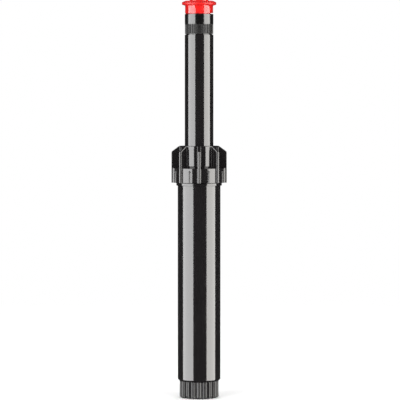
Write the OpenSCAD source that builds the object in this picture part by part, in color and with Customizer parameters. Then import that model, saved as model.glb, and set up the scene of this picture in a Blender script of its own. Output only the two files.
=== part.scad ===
// Pop-up spray sprinkler: case with bottom inlet, finned screw cap, spring-return riser and
// adjustable-arc nozzle. +Z is up the riser. The origin is the centre of the inlet's mouth,
// and the riser is drawn fully raised. All sizes are in millimetres.

/* [Travel] */
// How far the riser rises out of the case
popup_travel = 97.6; // [70:0.1:140]
// Gap left under the foot seal when the riser is down
park_gap = 0.3; // [0.2:0.1:1]
// Gap left under the collar flange when the riser is down
lid_gap = 0.3; // [0.2:0.1:1]

/* [Case] */
// Wall of the case tube
case_wall = 2.1; // [1.5:0.1:3]
// Height of the case floor, above the inlet thread
floor_t = 2.0; // [1.5:0.1:4]
// Radius of the port through the case floor
port_r = 7.6; // [4:0.1:8]
// Number of key ribs inside the case
key_rib_n = 4; // [3:1:6]
// Width of a key rib
key_rib_w = 1.6; // [1:0.1:2.4]
// How far a key rib stands in from the wall
key_rib_h = 0.5; // [0.3:0.05:0.6]
// How far the rim flange stands out from the case
rim_proud = 0.95; // [0.4:0.05:1.2]
// Height of the rim flange
rim_h = 1.9; // [1:0.1:3]
// Height of the slope between the base collar and the case
shoulder_h = 1.4; // [1:0.1:3]

/* [Inlet] */
// Radius of the inlet thread's crests
inlet_crest_r = 9.16; // [8.3:0.01:11]
// Depth of the inlet thread's grooves
inlet_thread_h = 1.38; // [0.8:0.01:1.5]
// Pitch of the inlet thread
inlet_pitch = 1.814; // [1.4:0.001:2.3]
// Depth of the threaded inlet
inlet_depth = 12.0; // [9:0.5:18]
// Wall between the inlet thread and the grooves of the base collar
inlet_wall = 2.4; // [1.4:0.1:3]
// Number of grip ribs on the base collar
base_rib_n = 22; // [12:1:30]
// Height of a grip rib
base_rib_h = 0.8; // [0.3:0.1:1.2]
// Width of a grip rib at its top
base_rib_w = 0.9; // [0.6:0.1:1.8]
// Rounding at the bottom edge of the base collar
base_edge = 0.9; // [0.3:0.1:1.4]

/* [Cap] */
// Wall of the cap skirt outside its thread
cap_wall = 1.8; // [1.2:0.1:3]
// How far the skirt reaches down past the case's rim
cap_skirt_drop = 7.6; // [7.6:0.1:12]
// Height of the neck above the seal's flange
cap_neck_h = 16.6; // [13:0.1:22]
// Wall of the neck
cap_neck_wall = 1.0; // [0.8:0.1:2]
// How much the neck widens towards its top
cap_neck_flare = 0.65; // [0.2:0.05:1.5]
// Thickness of the plate at the cap's mouth
cap_top_t = 3.7; // [2:0.1:5]
// Wall of the cap over the seal's flange
cap_shoulder_t = 0.9; // [0.7:0.1:2]
// Height of the slope between skirt and neck
cap_ledge_h = 1.5; // [0.8:0.1:2.5]
// Pitch of the cap thread
cap_pitch = 2.3; // [1.8:0.1:2.3]
// Height of the cap thread's ridges
cap_thread_h = 0.8; // [0.5:0.05:1]
// Number of ridges of the cap thread
cap_thread_n = 3; // [2:1:3]
// Number of fins
fin_n = 8; // [5:1:12]
// Thickness of a fin
fin_t = 2.2; // [1.4:0.1:3]
// How far a fin stands out from the skirt
fin_proud = 1.8; // [1:0.05:3]
// Drop of the fin's sloping top
fin_slope_drop = 3.4; // [2:0.1:6]
// Rounding of the fin's outer corner
fin_corner = 1.5; // [0.6:0.1:2]
// Radius of the small marker ribs between the fins
marker_r = 0.8; // [0.4:0.05:0.9]
// Height of the marker ribs
marker_h = 7.6; // [4:0.1:9]

/* [Seal and retainer] */
// Thickness of the wiper seal's flange
seal_flange_t = 1.6; // [1:0.1:2.5]
// Thickness of the wiper seal's sleeve
seal_sleeve_t = 1.0; // [0.7:0.1:1.3]
// Height of the seal retainer
retainer_h = 6.1; // [5:0.1:12]

/* [Spring] */
// Diameter of the spring wire
spring_wire = 1.2; // [0.9:0.05:1.5]
// Number of coils
spring_turns = 20; // [14:1:26]
// Gap between coils with the riser up
coil_gap = 0.47; // [0.3:0.01:1]
// Space between the riser and the coils
spring_inner_gap = 0.85; // [0.75:0.05:1.5]
// Space between the coils and the case wall
spring_outer_gap = 0.8; // [0.7:0.05:1.5]

/* [Ratchet] */
// Number of ratchet teeth, a multiple of 12
ratchet_n = 36; // [24:12:48]
// Height of a ratchet tooth
ratchet_tooth_h = 0.6; // [0.3:0.05:0.8]
// Height of the ratchet ring
ratchet_ring_h = 3.05; // [2:0.05:5]
// Thickness of the foot's flange
foot_flange_t = 2.4; // [2.2:0.1:4]
// Height of the foot's sleeve above its flange
foot_sleeve_h = 4.6; // [3.5:0.1:8]
// How far the foot's sleeve stands out from the riser
foot_sleeve_proud = 0.55; // [0.4:0.05:0.6]
// How far the foot seal stands out below the foot
foot_seal_proud = 1.1; // [0.5:0.1:2]
// Width of the foot seal
foot_seal_w = 2.0; // [1.2:0.1:2.2]

/* [Riser] */
// Outer radius of the riser tube
riser_r = 10.0; // [9:0.05:12]
// Wall of the riser tube
riser_wall = 1.9; // [1.5:0.1:2.2]
// How far the riser narrows inside the foot
riser_spigot_in = 0.45; // [0.3:0.05:0.8]
// Rounding of the riser's top edge
riser_edge = 0.9; // [0.3:0.1:1.0]
// Height of the riser's threaded neck
riser_neck_h = 8.3; // [6:0.1:10]
// Wall of the neck under its thread
riser_neck_wall = 1.15; // [0.8:0.05:1.4]

/* [Nozzle] */
// How far the grip band lies inside the riser's outline
grip_inset = 0.1; // [0:0.05:0.4]
// Height of the step between riser and nozzle
nozzle_seat_h = 0.5; // [0.3:0.1:1]
// Height of the grip band
grip_h = 6.9; // [4:0.1:10]
// Number of ribs round the grip band
grip_n = 44; // [20:1:48]
// Depth of the grooves of the grip band
grip_depth = 0.5; // [0.2:0.05:0.6]
// Height of the smooth band over the grip band
smooth_h = 6.9; // [5:0.1:10]
// Wall of the nozzle base outside its thread
nozzle_wall = 1.2; // [1:0.05:1.6]
// Depth of the nozzle thread
nozzle_thread_h = 0.4; // [0.3:0.05:0.5]
// Pitch of the nozzle thread
nozzle_pitch = 1.6; // [1.2:0.1:2]
// Thickness of the orifice plate
orifice_plate_t = 2.0; // [1:0.1:2.6]
// Width of the plate's spokes
spoke_w = 1.4; // [0.8:0.1:2]
// Height of the spray slot
slot_h = 1.1; // [0.8:0.1:2]
// Angle at which the open part of the slot starts
slot_start = -31; // [-85:1:85]
// Thickness of each of the two shutters in the slot
shutter_t = 0.55; // [0.4:0.05:0.7]

/* [Arc collar] */
// Height of the collar's skirt
collar_skirt_h = 4.9; // [3:0.1:8]
// How far the collar's flange stands out from its skirt
collar_flange_proud = 2.2; // [1:0.1:3]
// Height of the slope under the flange
collar_under_h = 0.4; // [0.4:0.1:1.5]
// Height of the flange's toothed rim
collar_rim_h = 2.0; // [1:0.1:2.5]
// Rise of the flange's top from the rim inwards
collar_crown_h = 0.8; // [0.3:0.1:1.5]
// Number of teeth round the flange
collar_teeth = 50; // [24:1:60]
// Depth of the notches between the teeth
collar_notch = 0.5; // [0.3:0.05:0.7]

/* [Deflector] */
// Radius of the deflector's barrel, on which the collar turns
barrel_r = 5.5; // [4.6:0.05:6]
// How far the top disc reaches out past the barrel
disc_proud = 1.0; // [0.6:0.1:1.4]
// Height of the top disc
disc_h = 2.2; // [1.6:0.1:3]
// Radius of the deflector's tip in the hub
tip_r = 2.1; // [1.9:0.05:2.4]
// Wall of the hub in the orifice plate
hub_wall = 0.7; // [0.5:0.05:0.9]

/* [Radius screw] */
// Radius of the screw's shank
screw_r = 1.25; // [1:0.05:1.5]
// Radius of the screw's head
screw_head_r = 2.3; // [2:0.05:2.6]
// Height of the screw's head
screw_head_h = 1.3; // [1:0.1:1.6]
// Width of the screw's slot
screw_slot_w = 0.6; // [0.4:0.05:0.9]
// Section radius of the screw's O-ring
oring_r = 0.4; // [0.3:0.05:0.5]

/* [Throttle] */
// Height of the throttle plug
plug_h = 1.6; // [1:0.1:2.4]
// Distance from the orifice plate down to the plug
plug_drop = 3.9; // [3.7:0.1:4.6]
// Length of the guide legs under the orifice plate
leg_h = 9.0; // [8.5:0.1:11]
// Width of a guide leg
leg_w = 1.6; // [1:0.1:2.2]
// Radial thickness of a guide leg
leg_t = 0.7; // [0.5:0.05:0.9]

/* [Filter] */
// Length of the filter below its flange
filter_len = 38; // [20:1:60]
// Thickness of the filter's flange
filter_flange_t = 1.0; // [0.6:0.1:1.4]
// Wall of the filter cage
filter_wall = 0.7; // [0.5:0.05:0.8]
// Number of windows round the cage
window_n = 6; // [4:1:8]
// Number of rows of windows
window_rows = 5; // [2:1:8]
// Width of the bars between windows
window_bar = 1.2; // [0.8:0.1:1.8]
// Thickness of the mesh sleeve
mesh_t = 0.25; // [0.15:0.05:0.35]

/* [Fits] */
// Radial clearance of a part that slides or turns on another
running = 0.05; // [0.02:0.01:0.1]
// Radial clearance between threads
thread_gap = 0.1; // [0.05:0.01:0.2]
// Clearance round parts that pass each other freely
free_gap = 0.3; // [0.2:0.05:0.5]
// Clearance of a part that is dropped into place
drop_in = 0.15; // [0.1:0.05:0.3]

/* [Hidden] */
$fn = 96;
eps = 0.01;

// colours of the mouldings
BLACK = [0.09, 0.08, 0.085];
RED = [0.86, 0.10, 0.08];
RUBBER = [0.16, 0.16, 0.17];
STEEL = [0.75, 0.76, 0.78];
NATURAL = [0.80, 0.81, 0.78];

// small fixed sizes
base_drop = 0.65;
thread_step = 0.2;
seal_gap = 0.1;
seal_lip_w = 0.75;
smooth_proud = 0.07;
plug_inset = 0.5;
chamber_wall = 3.0;
lip_inset = 0.72;
shutter_gap = 0.1;
collar_inset = 0.13;
grip_top_share = 0.45;
grip_foot_share = 0.94;
notch_h = 0.9;
ring_play = 0.02;

// radii, from the riser outwards
spring_in_r = riser_r + spring_inner_gap;
spring_mean_r = spring_in_r + spring_wire / 2;
case_bore_r = spring_in_r + spring_wire + spring_outer_gap;
case_r = case_bore_r + case_wall;
rim_r = case_r + rim_proud;
inlet_root_r = inlet_crest_r + inlet_thread_h;
base_root_r = inlet_root_r + inlet_wall;
base_r = base_root_r + base_rib_h;
cap_male_root_r = case_r - thread_step;
cap_male_crest_r = cap_male_root_r + cap_thread_h;
cap_female_root_r = cap_male_crest_r + 2 * thread_gap;
cap_female_crest_r = cap_male_root_r + 2 * thread_gap;
cap_skirt_r = cap_female_root_r + cap_wall;
fin_r = cap_skirt_r + fin_proud;
mouth_r = riser_r + free_gap;
seal_bore_r = riser_r + running;
seal_pocket_r = mouth_r + seal_gap + seal_sleeve_t + seal_lip_w;
cap_neck_r = seal_pocket_r + cap_neck_wall;
sleeve_r = riser_r + foot_sleeve_proud;
spigot_r = riser_r - riser_spigot_in;
riser_bore_r = riser_r - riser_wall;

// radii, from the riser inwards
grip_r = riser_r - grip_inset;
grip_pitch = 2 * PI * (grip_r - grip_depth) / grip_n;
seat_r = riser_r - riser_edge - eps;
smooth_r = grip_r + smooth_proud;
nozzle_root_r = grip_r - nozzle_wall;
neck_crest_r = nozzle_root_r - thread_gap;
neck_root_r = neck_crest_r - nozzle_thread_h;
nozzle_crest_r = neck_root_r + thread_gap;
neck_bore_r = neck_root_r - riser_neck_wall;
filter_r = neck_bore_r - free_gap;
filter_bore_r = filter_r - filter_wall;
leg_out_r = filter_bore_r - free_gap;
leg_in_r = leg_out_r - leg_t;
plug_r = filter_bore_r - plug_inset;
window_out_r = filter_bore_r - plug_inset;
chamber_r = smooth_r - chamber_wall;
hub_r = tip_r + hub_wall;
lip_out_r = smooth_r - lip_inset;
lip_in_r = lip_out_r - shutter_t;
shutter_out_r = lip_in_r - shutter_gap;
shutter_in_r = shutter_out_r - shutter_t;
skirt_r = grip_r - collar_inset;
flange_r = skirt_r + collar_flange_proud;
disc_r = barrel_r + disc_proud;

// heights, from the inlet up to the cap
floor_z = inlet_depth + floor_t;
base_top_z = inlet_depth - base_drop;
foot_seal_z = floor_z + park_gap + popup_travel;
foot_z = foot_seal_z + foot_seal_proud;
foot_top_z = foot_z + foot_flange_t;
ring_z = foot_top_z + running;
ring_top_z = ring_z + ratchet_ring_h;
spring_len = spring_turns * (spring_wire + coil_gap);
retainer_z = ring_top_z + spring_len;
case_rim_z = retainer_z + retainer_h;
skirt_z = case_rim_z - cap_skirt_drop;
rim_top_z = skirt_z - seal_gap;
seal_top_z = case_rim_z + seal_flange_t;
cap_top_z = seal_top_z + cap_neck_h;
pocket_top_z = cap_top_z - cap_top_t;
skirt_top_z = seal_top_z + cap_shoulder_t;
ledge_top_z = skirt_top_z + cap_ledge_h;

// heights, from the raised riser up to the nozzle's top
nozzle_stack = nozzle_seat_h + grip_h + smooth_h + slot_h + collar_skirt_h;
stem_top_z = cap_top_z + lid_gap + popup_travel - nozzle_stack;
grip_z = stem_top_z + nozzle_seat_h;
smooth_z = grip_z + grip_h;
nozzle_top_z = smooth_z + smooth_h;
neck_top_z = stem_top_z + riser_neck_h;
plate_z = neck_top_z + filter_flange_t;
plate_top_z = plate_z + orifice_plate_t;
collar_z = nozzle_top_z + slot_h;
under_z = collar_z + collar_skirt_h;
flange_z = under_z + collar_under_h;
flange_top_z = flange_z + collar_rim_h;
collar_top_z = flange_top_z + collar_crown_h;
disc_z = collar_top_z - 1.0;
disc_top_z = disc_z + disc_h;
head_z = disc_top_z - screw_head_h - 0.2;
plug_top_z = plate_z - plug_drop;
screw_end_z = plate_z - leg_h - 0.5;
oring_z = disc_z - 3.5;

// the points of an arc about (cx, cy), from angle a0 to a1
function arc(cx, cy, r, a0, a1, n) =
    [for (i = [0 : n]) let (a = a0 + (a1 - a0) * i / n) [cx + r * cos(a), cy + r * sin(a)]];

// a ring of rectangular section
module ring(r_out, r_in, z0, z1) {
    translate([0, 0, z0])
        difference() {
            cylinder(r = r_out, h = z1 - z0);
            translate([0, 0, -1]) cylinder(r = r_in, h = z1 - z0 + 2);
        }
}

// a closed outline of n raised ribs: radius root between them and crest on them
module ribbed_outline(n, root, crest, top_w, foot_w) {
    half_top = asin(top_w / 2 / crest);
    half_foot = asin(foot_w / 2 / root);
    polygon([
        for (i = [0 : n - 1])
            let (a = i * 360 / n - 90)
            for (p = [[-half_foot, root], [-half_top, crest], [half_top, crest], [half_foot, root]])
                [p[1] * cos(a + p[0]), p[1] * sin(a + p[0])]
    ]);
}

// a closed outline of n ribs of width top_w with hollow flutes between them
module fluted_outline(n, root, crest, top_w) {
    cuts = 6;
    half = asin(top_w / 2 / crest);
    polygon([
        for (i = [0 : n - 1], k = [0 : cuts])
            let (t = k / cuts, a = i * 360 / n - 90 + half + t * (360 / n - 2 * half))
            let (r = root + (crest - root) * pow(2 * t - 1, 2))
            [r * cos(a), r * sin(a)]
    ]);
}

// n ridges of a thread as rings, sloping from the root to the crest
module thread_ridges(root, crest, z0, pitch, n) {
    foot = pitch * 0.42;
    tip = pitch * 0.12;
    for (i = [0 : n - 1])
        translate([0, 0, z0 + (i + 0.5) * pitch])
            rotate_extrude()
                polygon([[root, -foot / 2], [crest, -tip / 2], [crest, tip / 2], [root, foot / 2]]);
}

// the body of the case: tube, floor, ribbed base collar, key ribs and two threads
module case_body() {
    color(BLACK)
        union() {
            difference() {
                union() {
                    intersection() {
                        linear_extrude(base_top_z + eps)
                            fluted_outline(base_rib_n, base_root_r, base_r, base_rib_w);
                        rotate_extrude()
                            polygon(concat(
                                [[0, 0]],
                                arc(base_r - base_edge, base_edge, base_edge, -90, 0, 5),
                                [[base_r, base_top_z + 1], [0, base_top_z + 1]]
                            ));
                    }
                    rotate_extrude()
                        polygon([
                            [0, base_top_z],
                            [base_r - 0.2, base_top_z],
                            [case_r, base_top_z + shoulder_h],
                            [case_r, rim_top_z - rim_h],
                            [rim_r, rim_top_z - rim_h],
                            [rim_r, rim_top_z],
                            [cap_male_root_r, rim_top_z],
                            [cap_male_root_r, case_rim_z],
                            [0, case_rim_z]
                        ]);
                    thread_ridges(cap_male_root_r - eps, cap_male_crest_r, rim_top_z + 0.6,
                                  cap_pitch, cap_thread_n);
                }
                translate([0, 0, -1]) cylinder(r = inlet_crest_r, h = inlet_depth + 1);
                translate([0, 0, inlet_depth - 1]) cylinder(r = port_r, h = floor_t + 2);
                translate([0, 0, floor_z]) cylinder(r = case_bore_r, h = case_rim_z);
                inlet_grooves();
                // lead-in at the mouth of the inlet
                translate([0, 0, -eps])
                    cylinder(r1 = inlet_root_r, r2 = inlet_crest_r, h = inlet_thread_h);
            }
            key_ribs();
        }
}

// the grooves of the inlet thread
module inlet_grooves() {
    n = floor((inlet_depth - 1) / inlet_pitch);
    foot = inlet_pitch * 0.8;
    tip = inlet_pitch * 0.14;
    for (i = [0 : n - 1])
        translate([0, 0, (i + 0.75) * inlet_pitch])
            rotate_extrude()
                polygon([
                    [inlet_crest_r - 0.2, -foot / 2],
                    [inlet_crest_r, -foot / 2],
                    [inlet_root_r, -tip / 2],
                    [inlet_root_r, tip / 2],
                    [inlet_crest_r, foot / 2],
                    [inlet_crest_r - 0.2, foot / 2]
                ]);
}

// ribs inside the case that keep the ratchet ring from turning
module key_ribs() {
    for (i = [0 : key_rib_n - 1])
        rotate([0, 0, 45 + i * 360 / key_rib_n])
            translate([case_bore_r - key_rib_h, -key_rib_w / 2, floor_z - eps])
                cube([key_rib_h + case_wall / 2, key_rib_w, retainer_z - free_gap - floor_z]);
}

// one fin of the cap, as a plate in the plane of the axis
module fin() {
    slope_z = cap_top_z - fin_slope_drop;
    rotate([90, 0, 0])
        translate([0, 0, -fin_t / 2])
            linear_extrude(fin_t)
                polygon(concat(
                    [
                        [seal_pocket_r + 0.5, skirt_top_z - 1],
                        [cap_female_root_r + 0.8, skirt_top_z - 1],
                        [cap_female_root_r + 0.8, skirt_z],
                        [fin_r, skirt_z]
                    ],
                    arc(fin_r - fin_corner, slope_z - fin_corner, fin_corner, 0, 55, 4),
                    [
                        [cap_neck_r + cap_neck_flare, cap_top_z],
                        [seal_pocket_r + 0.5, cap_top_z]
                    ]
                ));
}

// the screw cap: threaded skirt, neck, mouth plate, fins and small marker ribs
module cap() {
    color(BLACK)
        difference() {
            union() {
                rotate_extrude()
                    polygon([
                        [mouth_r, skirt_z],
                        [cap_skirt_r, skirt_z],
                        [cap_skirt_r, skirt_top_z],
                        [cap_neck_r, ledge_top_z],
                        [cap_neck_r, cap_top_z - 4],
                        [cap_neck_r + cap_neck_flare, cap_top_z - 0.4],
                        [cap_neck_r + cap_neck_flare - 0.4, cap_top_z],
                        [mouth_r + 0.8, cap_top_z],
                        [mouth_r, cap_top_z - 0.8]
                    ]);
                for (i = [0 : fin_n - 1])
                    rotate([0, 0, i * 360 / fin_n - 90]) fin();
                for (i = [0 : fin_n - 1])
                    rotate([0, 0, (i + 0.5) * 360 / fin_n - 90])
                        translate([cap_skirt_r - 0.05, 0, skirt_z]) {
                            cylinder(r = marker_r, h = marker_h);
                            translate([0, 0, marker_h]) sphere(r = marker_r, $fn = 32);
                        }
            }
            difference() {
                translate([0, 0, skirt_z - 1])
                    cylinder(r = cap_female_root_r, h = seal_top_z - skirt_z + 1);
                cap_thread();
            }
            translate([0, 0, seal_top_z - 1])
                cylinder(r = seal_pocket_r, h = pocket_top_z - seal_top_z + 1);
        }
}

// the ridges inside the cap's skirt, half a pitch off those of the case
module cap_thread() {
    foot = cap_pitch * 0.42;
    tip = cap_pitch * 0.12;
    for (i = [0 : cap_thread_n - 2])
        translate([0, 0, rim_top_z + 0.6 + (i + 1) * cap_pitch])
            rotate_extrude()
                polygon([
                    [cap_female_root_r + 0.5, -foot / 2],
                    [cap_female_root_r, -foot / 2],
                    [cap_female_crest_r, -tip / 2],
                    [cap_female_crest_r, tip / 2],
                    [cap_female_root_r, foot / 2],
                    [cap_female_root_r + 0.5, foot / 2]
                ]);
}

// the rubber seal that wipes the riser, its flange clamped between case and cap
module wiper_seal() {
    low = case_rim_z;
    inner = mouth_r + seal_gap;
    outer = inner + seal_sleeve_t;
    top = pocket_top_z;
    color(RUBBER)
        rotate_extrude()
            polygon([
                [inner, low],
                [cap_male_root_r, low],
                [cap_male_root_r, seal_top_z],
                [outer + 0.3, seal_top_z],
                [outer, seal_top_z + 0.5],
                [outer, top - 3],
                [seal_pocket_r - ring_play, top - 2],
                [seal_pocket_r - ring_play, top],
                [seal_bore_r + 0.3, top],
                [seal_bore_r, top - 0.4],
                [seal_bore_r, top - 0.9],
                [inner, top - 2]
            ]);
}

// the ring that backs the seal and takes the spring's upper end
module seal_retainer() {
    outer = case_bore_r - drop_in;
    color(NATURAL)
        rotate_extrude()
            polygon([
                [mouth_r, retainer_z],
                [outer, retainer_z],
                [outer, retainer_z + 1.6],
                [outer - 0.7, retainer_z + 2.2],
                [outer - 0.7, case_rim_z - 2.2],
                [outer, case_rim_z - 1.6],
                [outer, case_rim_z],
                [mouth_r, case_rim_z]
            ]);
}

// height of the wire's centre after t turns: the first and last turns lie closed
function coil_z(t) =
    let (closed = spring_wire * 1.03)
    let (open = (spring_len - spring_wire - 2 * ring_play - 2 * closed) / (spring_turns - 2))
    t < 1 ? closed * t
    : t > spring_turns - 1 ? closed + open * (spring_turns - 2) + closed * (t - spring_turns + 1)
    : closed + open * (t - 1);

// the return spring, a helix of round wire between ratchet ring and retainer
module retraction_spring() {
    steps = 16;
    sides = 6;
    count = steps * (spring_turns - 1);
    wire_r = spring_wire / 2;
    stretch = spring_turns / (spring_turns - 1);
    points = [
        for (i = [0 : count])
            let (t = i / steps, a = 360 * t, z = ring_top_z + ring_play + wire_r + coil_z(t * stretch))
            for (j = [0 : sides - 1])
                let (b = 360 * (j + 0.5) / sides, r = spring_mean_r + wire_r * cos(b))
                [r * cos(a), r * sin(a), z + wire_r * sin(b)]
    ];
    walls = [
        for (i = [0 : count - 1], j = [0 : sides - 1])
            let (k = (j + 1) % sides)
            [i * sides + j, i * sides + k, (i + 1) * sides + k, (i + 1) * sides + j]
    ];
    first = [[for (j = [sides - 1 : -1 : 0]) j]];
    last = [[for (j = [0 : sides - 1]) count * sides + j]];
    color(STEEL) polyhedron(points, concat(first, walls, last));
}

// n wedges that point down from height z, each as wide at its root as w
module wedges(n, r_in, r_out, z, w, h) {
    for (i = [0 : n - 1])
        rotate([0, 0, i * 360 / n])
            translate([r_in, 0, z])
                rotate([90, 0, 90])
                    linear_extrude(r_out - r_in)
                        polygon([[-w / 2, 0.2], [-w / 2, 0], [0, -h], [w / 2, 0], [w / 2, 0.2]]);
}

// the ring under the spring: keyed to the case, its teeth hold the riser's aim
module ratchet_ring() {
    outer = case_bore_r - free_gap;
    tooth_w = 2 * PI * sleeve_r / ratchet_n * 0.7;
    color(NATURAL)
        union() {
            difference() {
                ring(outer, sleeve_r + running, ring_z, ring_top_z);
                for (i = [0 : key_rib_n - 1])
                    rotate([0, 0, 45 + i * 360 / key_rib_n])
                        translate([case_bore_r - key_rib_h - free_gap, -key_rib_w / 2 - free_gap,
                                   ring_z - 1])
                            cube([case_wall, key_rib_w + 2 * free_gap, ratchet_ring_h + 2]);
            }
            wedges(ratchet_n, sleeve_r + 0.15, spring_in_r + 0.9, ring_z, tooth_w,
                   ratchet_tooth_h);
        }
}

// the foot of the riser: flange with ratchet notches, sleeve, and a groove for the foot seal
module riser_foot() {
    flange_out_r = case_bore_r - key_rib_h - free_gap;
    notch_w = 2 * PI * sleeve_r / ratchet_n * 0.7 + 2 * running;
    color(BLACK)
        difference() {
            rotate_extrude()
                polygon([
                    [riser_bore_r, foot_z],
                    [flange_out_r - 0.4, foot_z],
                    [flange_out_r, foot_z + 0.4],
                    [flange_out_r, foot_top_z],
                    [sleeve_r, foot_top_z],
                    [sleeve_r, foot_top_z + foot_sleeve_h],
                    [spigot_r, foot_top_z + foot_sleeve_h],
                    [spigot_r, foot_z + 1.6],
                    [riser_bore_r, foot_z + 1.6]
                ]);
            wedges(ratchet_n, sleeve_r + running, flange_out_r + 1, foot_top_z, notch_w,
                   ratchet_tooth_h + running);
            ring(foot_seal_r() + foot_seal_w, foot_seal_r(), foot_z - 1, foot_z + 0.8);
        }
}

// inner radius of the foot seal, which closes on the floor round the port
function foot_seal_r() = max(port_r + 0.6, riser_bore_r + 0.6);

// the rubber ring under the foot, which holds water back when the riser is down
module foot_seal() {
    inner = foot_seal_r();
    outer = inner + foot_seal_w;
    color(RUBBER)
        rotate_extrude()
            polygon([
                [inner, foot_seal_z + 0.4],
                [inner + 0.5, foot_seal_z],
                [outer - 0.5, foot_seal_z],
                [outer, foot_seal_z + 0.4],
                [outer, foot_z + 0.8],
                [inner, foot_z + 0.8]
            ]);
}

// the riser tube with its spigot for the foot and its threaded neck for the nozzle
module riser_stem() {
    low = foot_z + 1.6;
    step_z = foot_top_z + foot_sleeve_h;
    color(BLACK)
        union() {
            rotate_extrude()
                polygon(concat(
                    [
                        [riser_bore_r, low],
                        [spigot_r, low],
                        [spigot_r, step_z],
                        [riser_r, step_z]
                    ],
                    arc(riser_r - riser_edge, stem_top_z - riser_edge, riser_edge, 0, 90, 5),
                    [
                        [seat_r, stem_top_z],
                        [seat_r, grip_z],
                        [neck_root_r, grip_z],
                        [neck_root_r, neck_top_z],
                        [neck_bore_r, neck_top_z],
                        [neck_bore_r, stem_top_z - 5],
                        [riser_bore_r, stem_top_z - 7]
                    ]
                ));
            thread_ridges(neck_root_r - eps, neck_crest_r, grip_z + 0.3, nozzle_pitch, 4);
        }
}

// the base of the nozzle: grip band, smooth band, orifice plate, guide legs, fixed shutter
module nozzle_base() {
    color(BLACK)
        difference() {
            union() {
                translate([0, 0, grip_z])
                    linear_extrude(grip_h + eps)
                        ribbed_outline(grip_n, grip_r - grip_depth, grip_r,
                                       grip_pitch * grip_top_share, grip_pitch * grip_foot_share);
                translate([0, 0, smooth_z]) cylinder(r = smooth_r, h = nozzle_top_z - smooth_z);
                // the fixed half of the shutter
                intersection() {
                    ring(shutter_out_r, shutter_in_r, nozzle_top_z - eps, collar_z - running);
                    translate([-20, -10, 0]) cube([20, 20, collar_z + 1]);
                }
            }
            translate([0, 0, grip_z - 1]) cylinder(r = nozzle_root_r, h = plate_z - grip_z + 1);
            translate([0, 0, plate_top_z]) cylinder(r = chamber_r, h = 20);
            orifice_windows();
            translate([0, 0, plate_z - 1]) cylinder(r = tip_r, h = 20);
        }
    color(BLACK) nozzle_thread();
    color(BLACK) guide_legs();
}

// the windows of the orifice plate, an annulus cut by three spokes
module orifice_windows() {
    difference() {
        ring(window_out_r, hub_r, plate_z - 1, plate_top_z + 1);
        for (i = [0 : 2])
            rotate([0, 0, i * 120 + 60])
                translate([0, -spoke_w / 2, plate_z - 2])
                    cube([window_out_r + 2, spoke_w, orifice_plate_t + 4]);
    }
}

// the ridges inside the nozzle, half a pitch off those of the neck
module nozzle_thread() {
    for (i = [0 : 2])
        translate([0, 0, grip_z + 0.3 + (i + 1) * nozzle_pitch])
            rotate_extrude()
                polygon([
                    [nozzle_root_r + 0.3, -nozzle_pitch * 0.2],
                    [nozzle_crest_r, -nozzle_pitch * 0.06],
                    [nozzle_crest_r, nozzle_pitch * 0.06],
                    [nozzle_root_r + 0.3, nozzle_pitch * 0.2]
                ]);
}

// two legs under the orifice plate that keep the throttle plug from turning
module guide_legs() {
    for (side = [0, 180])
        rotate([0, 0, side])
            translate([leg_in_r, -leg_w / 2, plate_z - leg_h])
                cube([leg_t, leg_w, leg_h + 0.5]);
}

// the turning collar: toothed flange, skirt, and the moving half of the shutter
module arc_collar() {
    color(RED)
        union() {
            difference() {
                rotate_extrude()
                    polygon([
                        [barrel_r + running, collar_z],
                        [skirt_r - 0.2, collar_z],
                        [skirt_r, collar_z + 0.2],
                        [skirt_r, under_z - 0.3],
                        [skirt_r + 0.3, under_z],
                        [flange_r - 0.4, flange_z],
                        [flange_r, flange_z + 0.2],
                        [flange_r, flange_top_z - 0.3],
                        [flange_r - 0.4, flange_top_z],
                        [flange_r - 2.2, collar_top_z],
                        [disc_r + free_gap, collar_top_z],
                        [disc_r + free_gap, disc_z - running],
                        [barrel_r + running, disc_z - running]
                    ]);
                for (i = [0 : collar_teeth - 1])
                    rotate([0, 0, i * 360 / collar_teeth])
                        translate([flange_r + 0.25, 0, flange_top_z - notch_h])
                            cylinder(r = 0.25 + collar_notch / 2, h = 4, $fn = 8);
            }
            intersection() {
                ring(lip_out_r, lip_in_r, nozzle_top_z + running, collar_z + eps);
                rotate([0, 0, slot_start])
                    translate([-20, -20, 0]) cube([40, 20, collar_z + 1]);
            }
        }
}

// the fixed deflector: tip in the hub, post, spreading cone, barrel and top disc
module deflector() {
    post_r = hub_r;
    color(RED)
        difference() {
            rotate_extrude()
                polygon(concat(
                    [
                        [screw_r + running, plate_z],
                        [tip_r - 0.01, plate_z],
                        [tip_r - 0.01, plate_top_z],
                        [post_r, plate_top_z],
                        [post_r, nozzle_top_z - 0.6],
                        [barrel_r, collar_z - 0.1],
                        [barrel_r, disc_z],
                        [disc_r - 0.2, disc_z]
                    ],
                    arc(disc_r - 0.6, disc_top_z - 0.6, 0.6, 0, 90, 4),
                    [[screw_r + running, disc_top_z]]
                ));
            translate([0, 0, head_z]) cylinder(r = screw_head_r + free_gap, h = 5);
            ring(screw_r + 2 * oring_r + 2 * running, screw_r, oring_z - oring_r, oring_z + oring_r);
        }
}

// the slotted screw that lifts and lowers the throttle plug
module radius_screw() {
    color(STEEL)
        difference() {
            union() {
                translate([0, 0, screw_end_z]) cylinder(r = screw_r, h = head_z - screw_end_z + eps);
                rotate_extrude()
                    polygon([
                        [0, head_z],
                        [screw_head_r, head_z],
                        [screw_head_r, head_z + screw_head_h - 0.3],
                        [screw_head_r - 0.3, head_z + screw_head_h],
                        [0, head_z + screw_head_h]
                    ]);
            }
            translate([-5, -screw_slot_w / 2, head_z + screw_head_h * 0.45])
                cube([10, screw_slot_w, 5]);
        }
}

// the O-ring round the screw's shank
module screw_oring() {
    color(RUBBER)
        translate([0, 0, oring_z])
            rotate_extrude()
                translate([screw_r + running + oring_r, 0])
                    circle(r = oring_r - running / 2);
}

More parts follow.
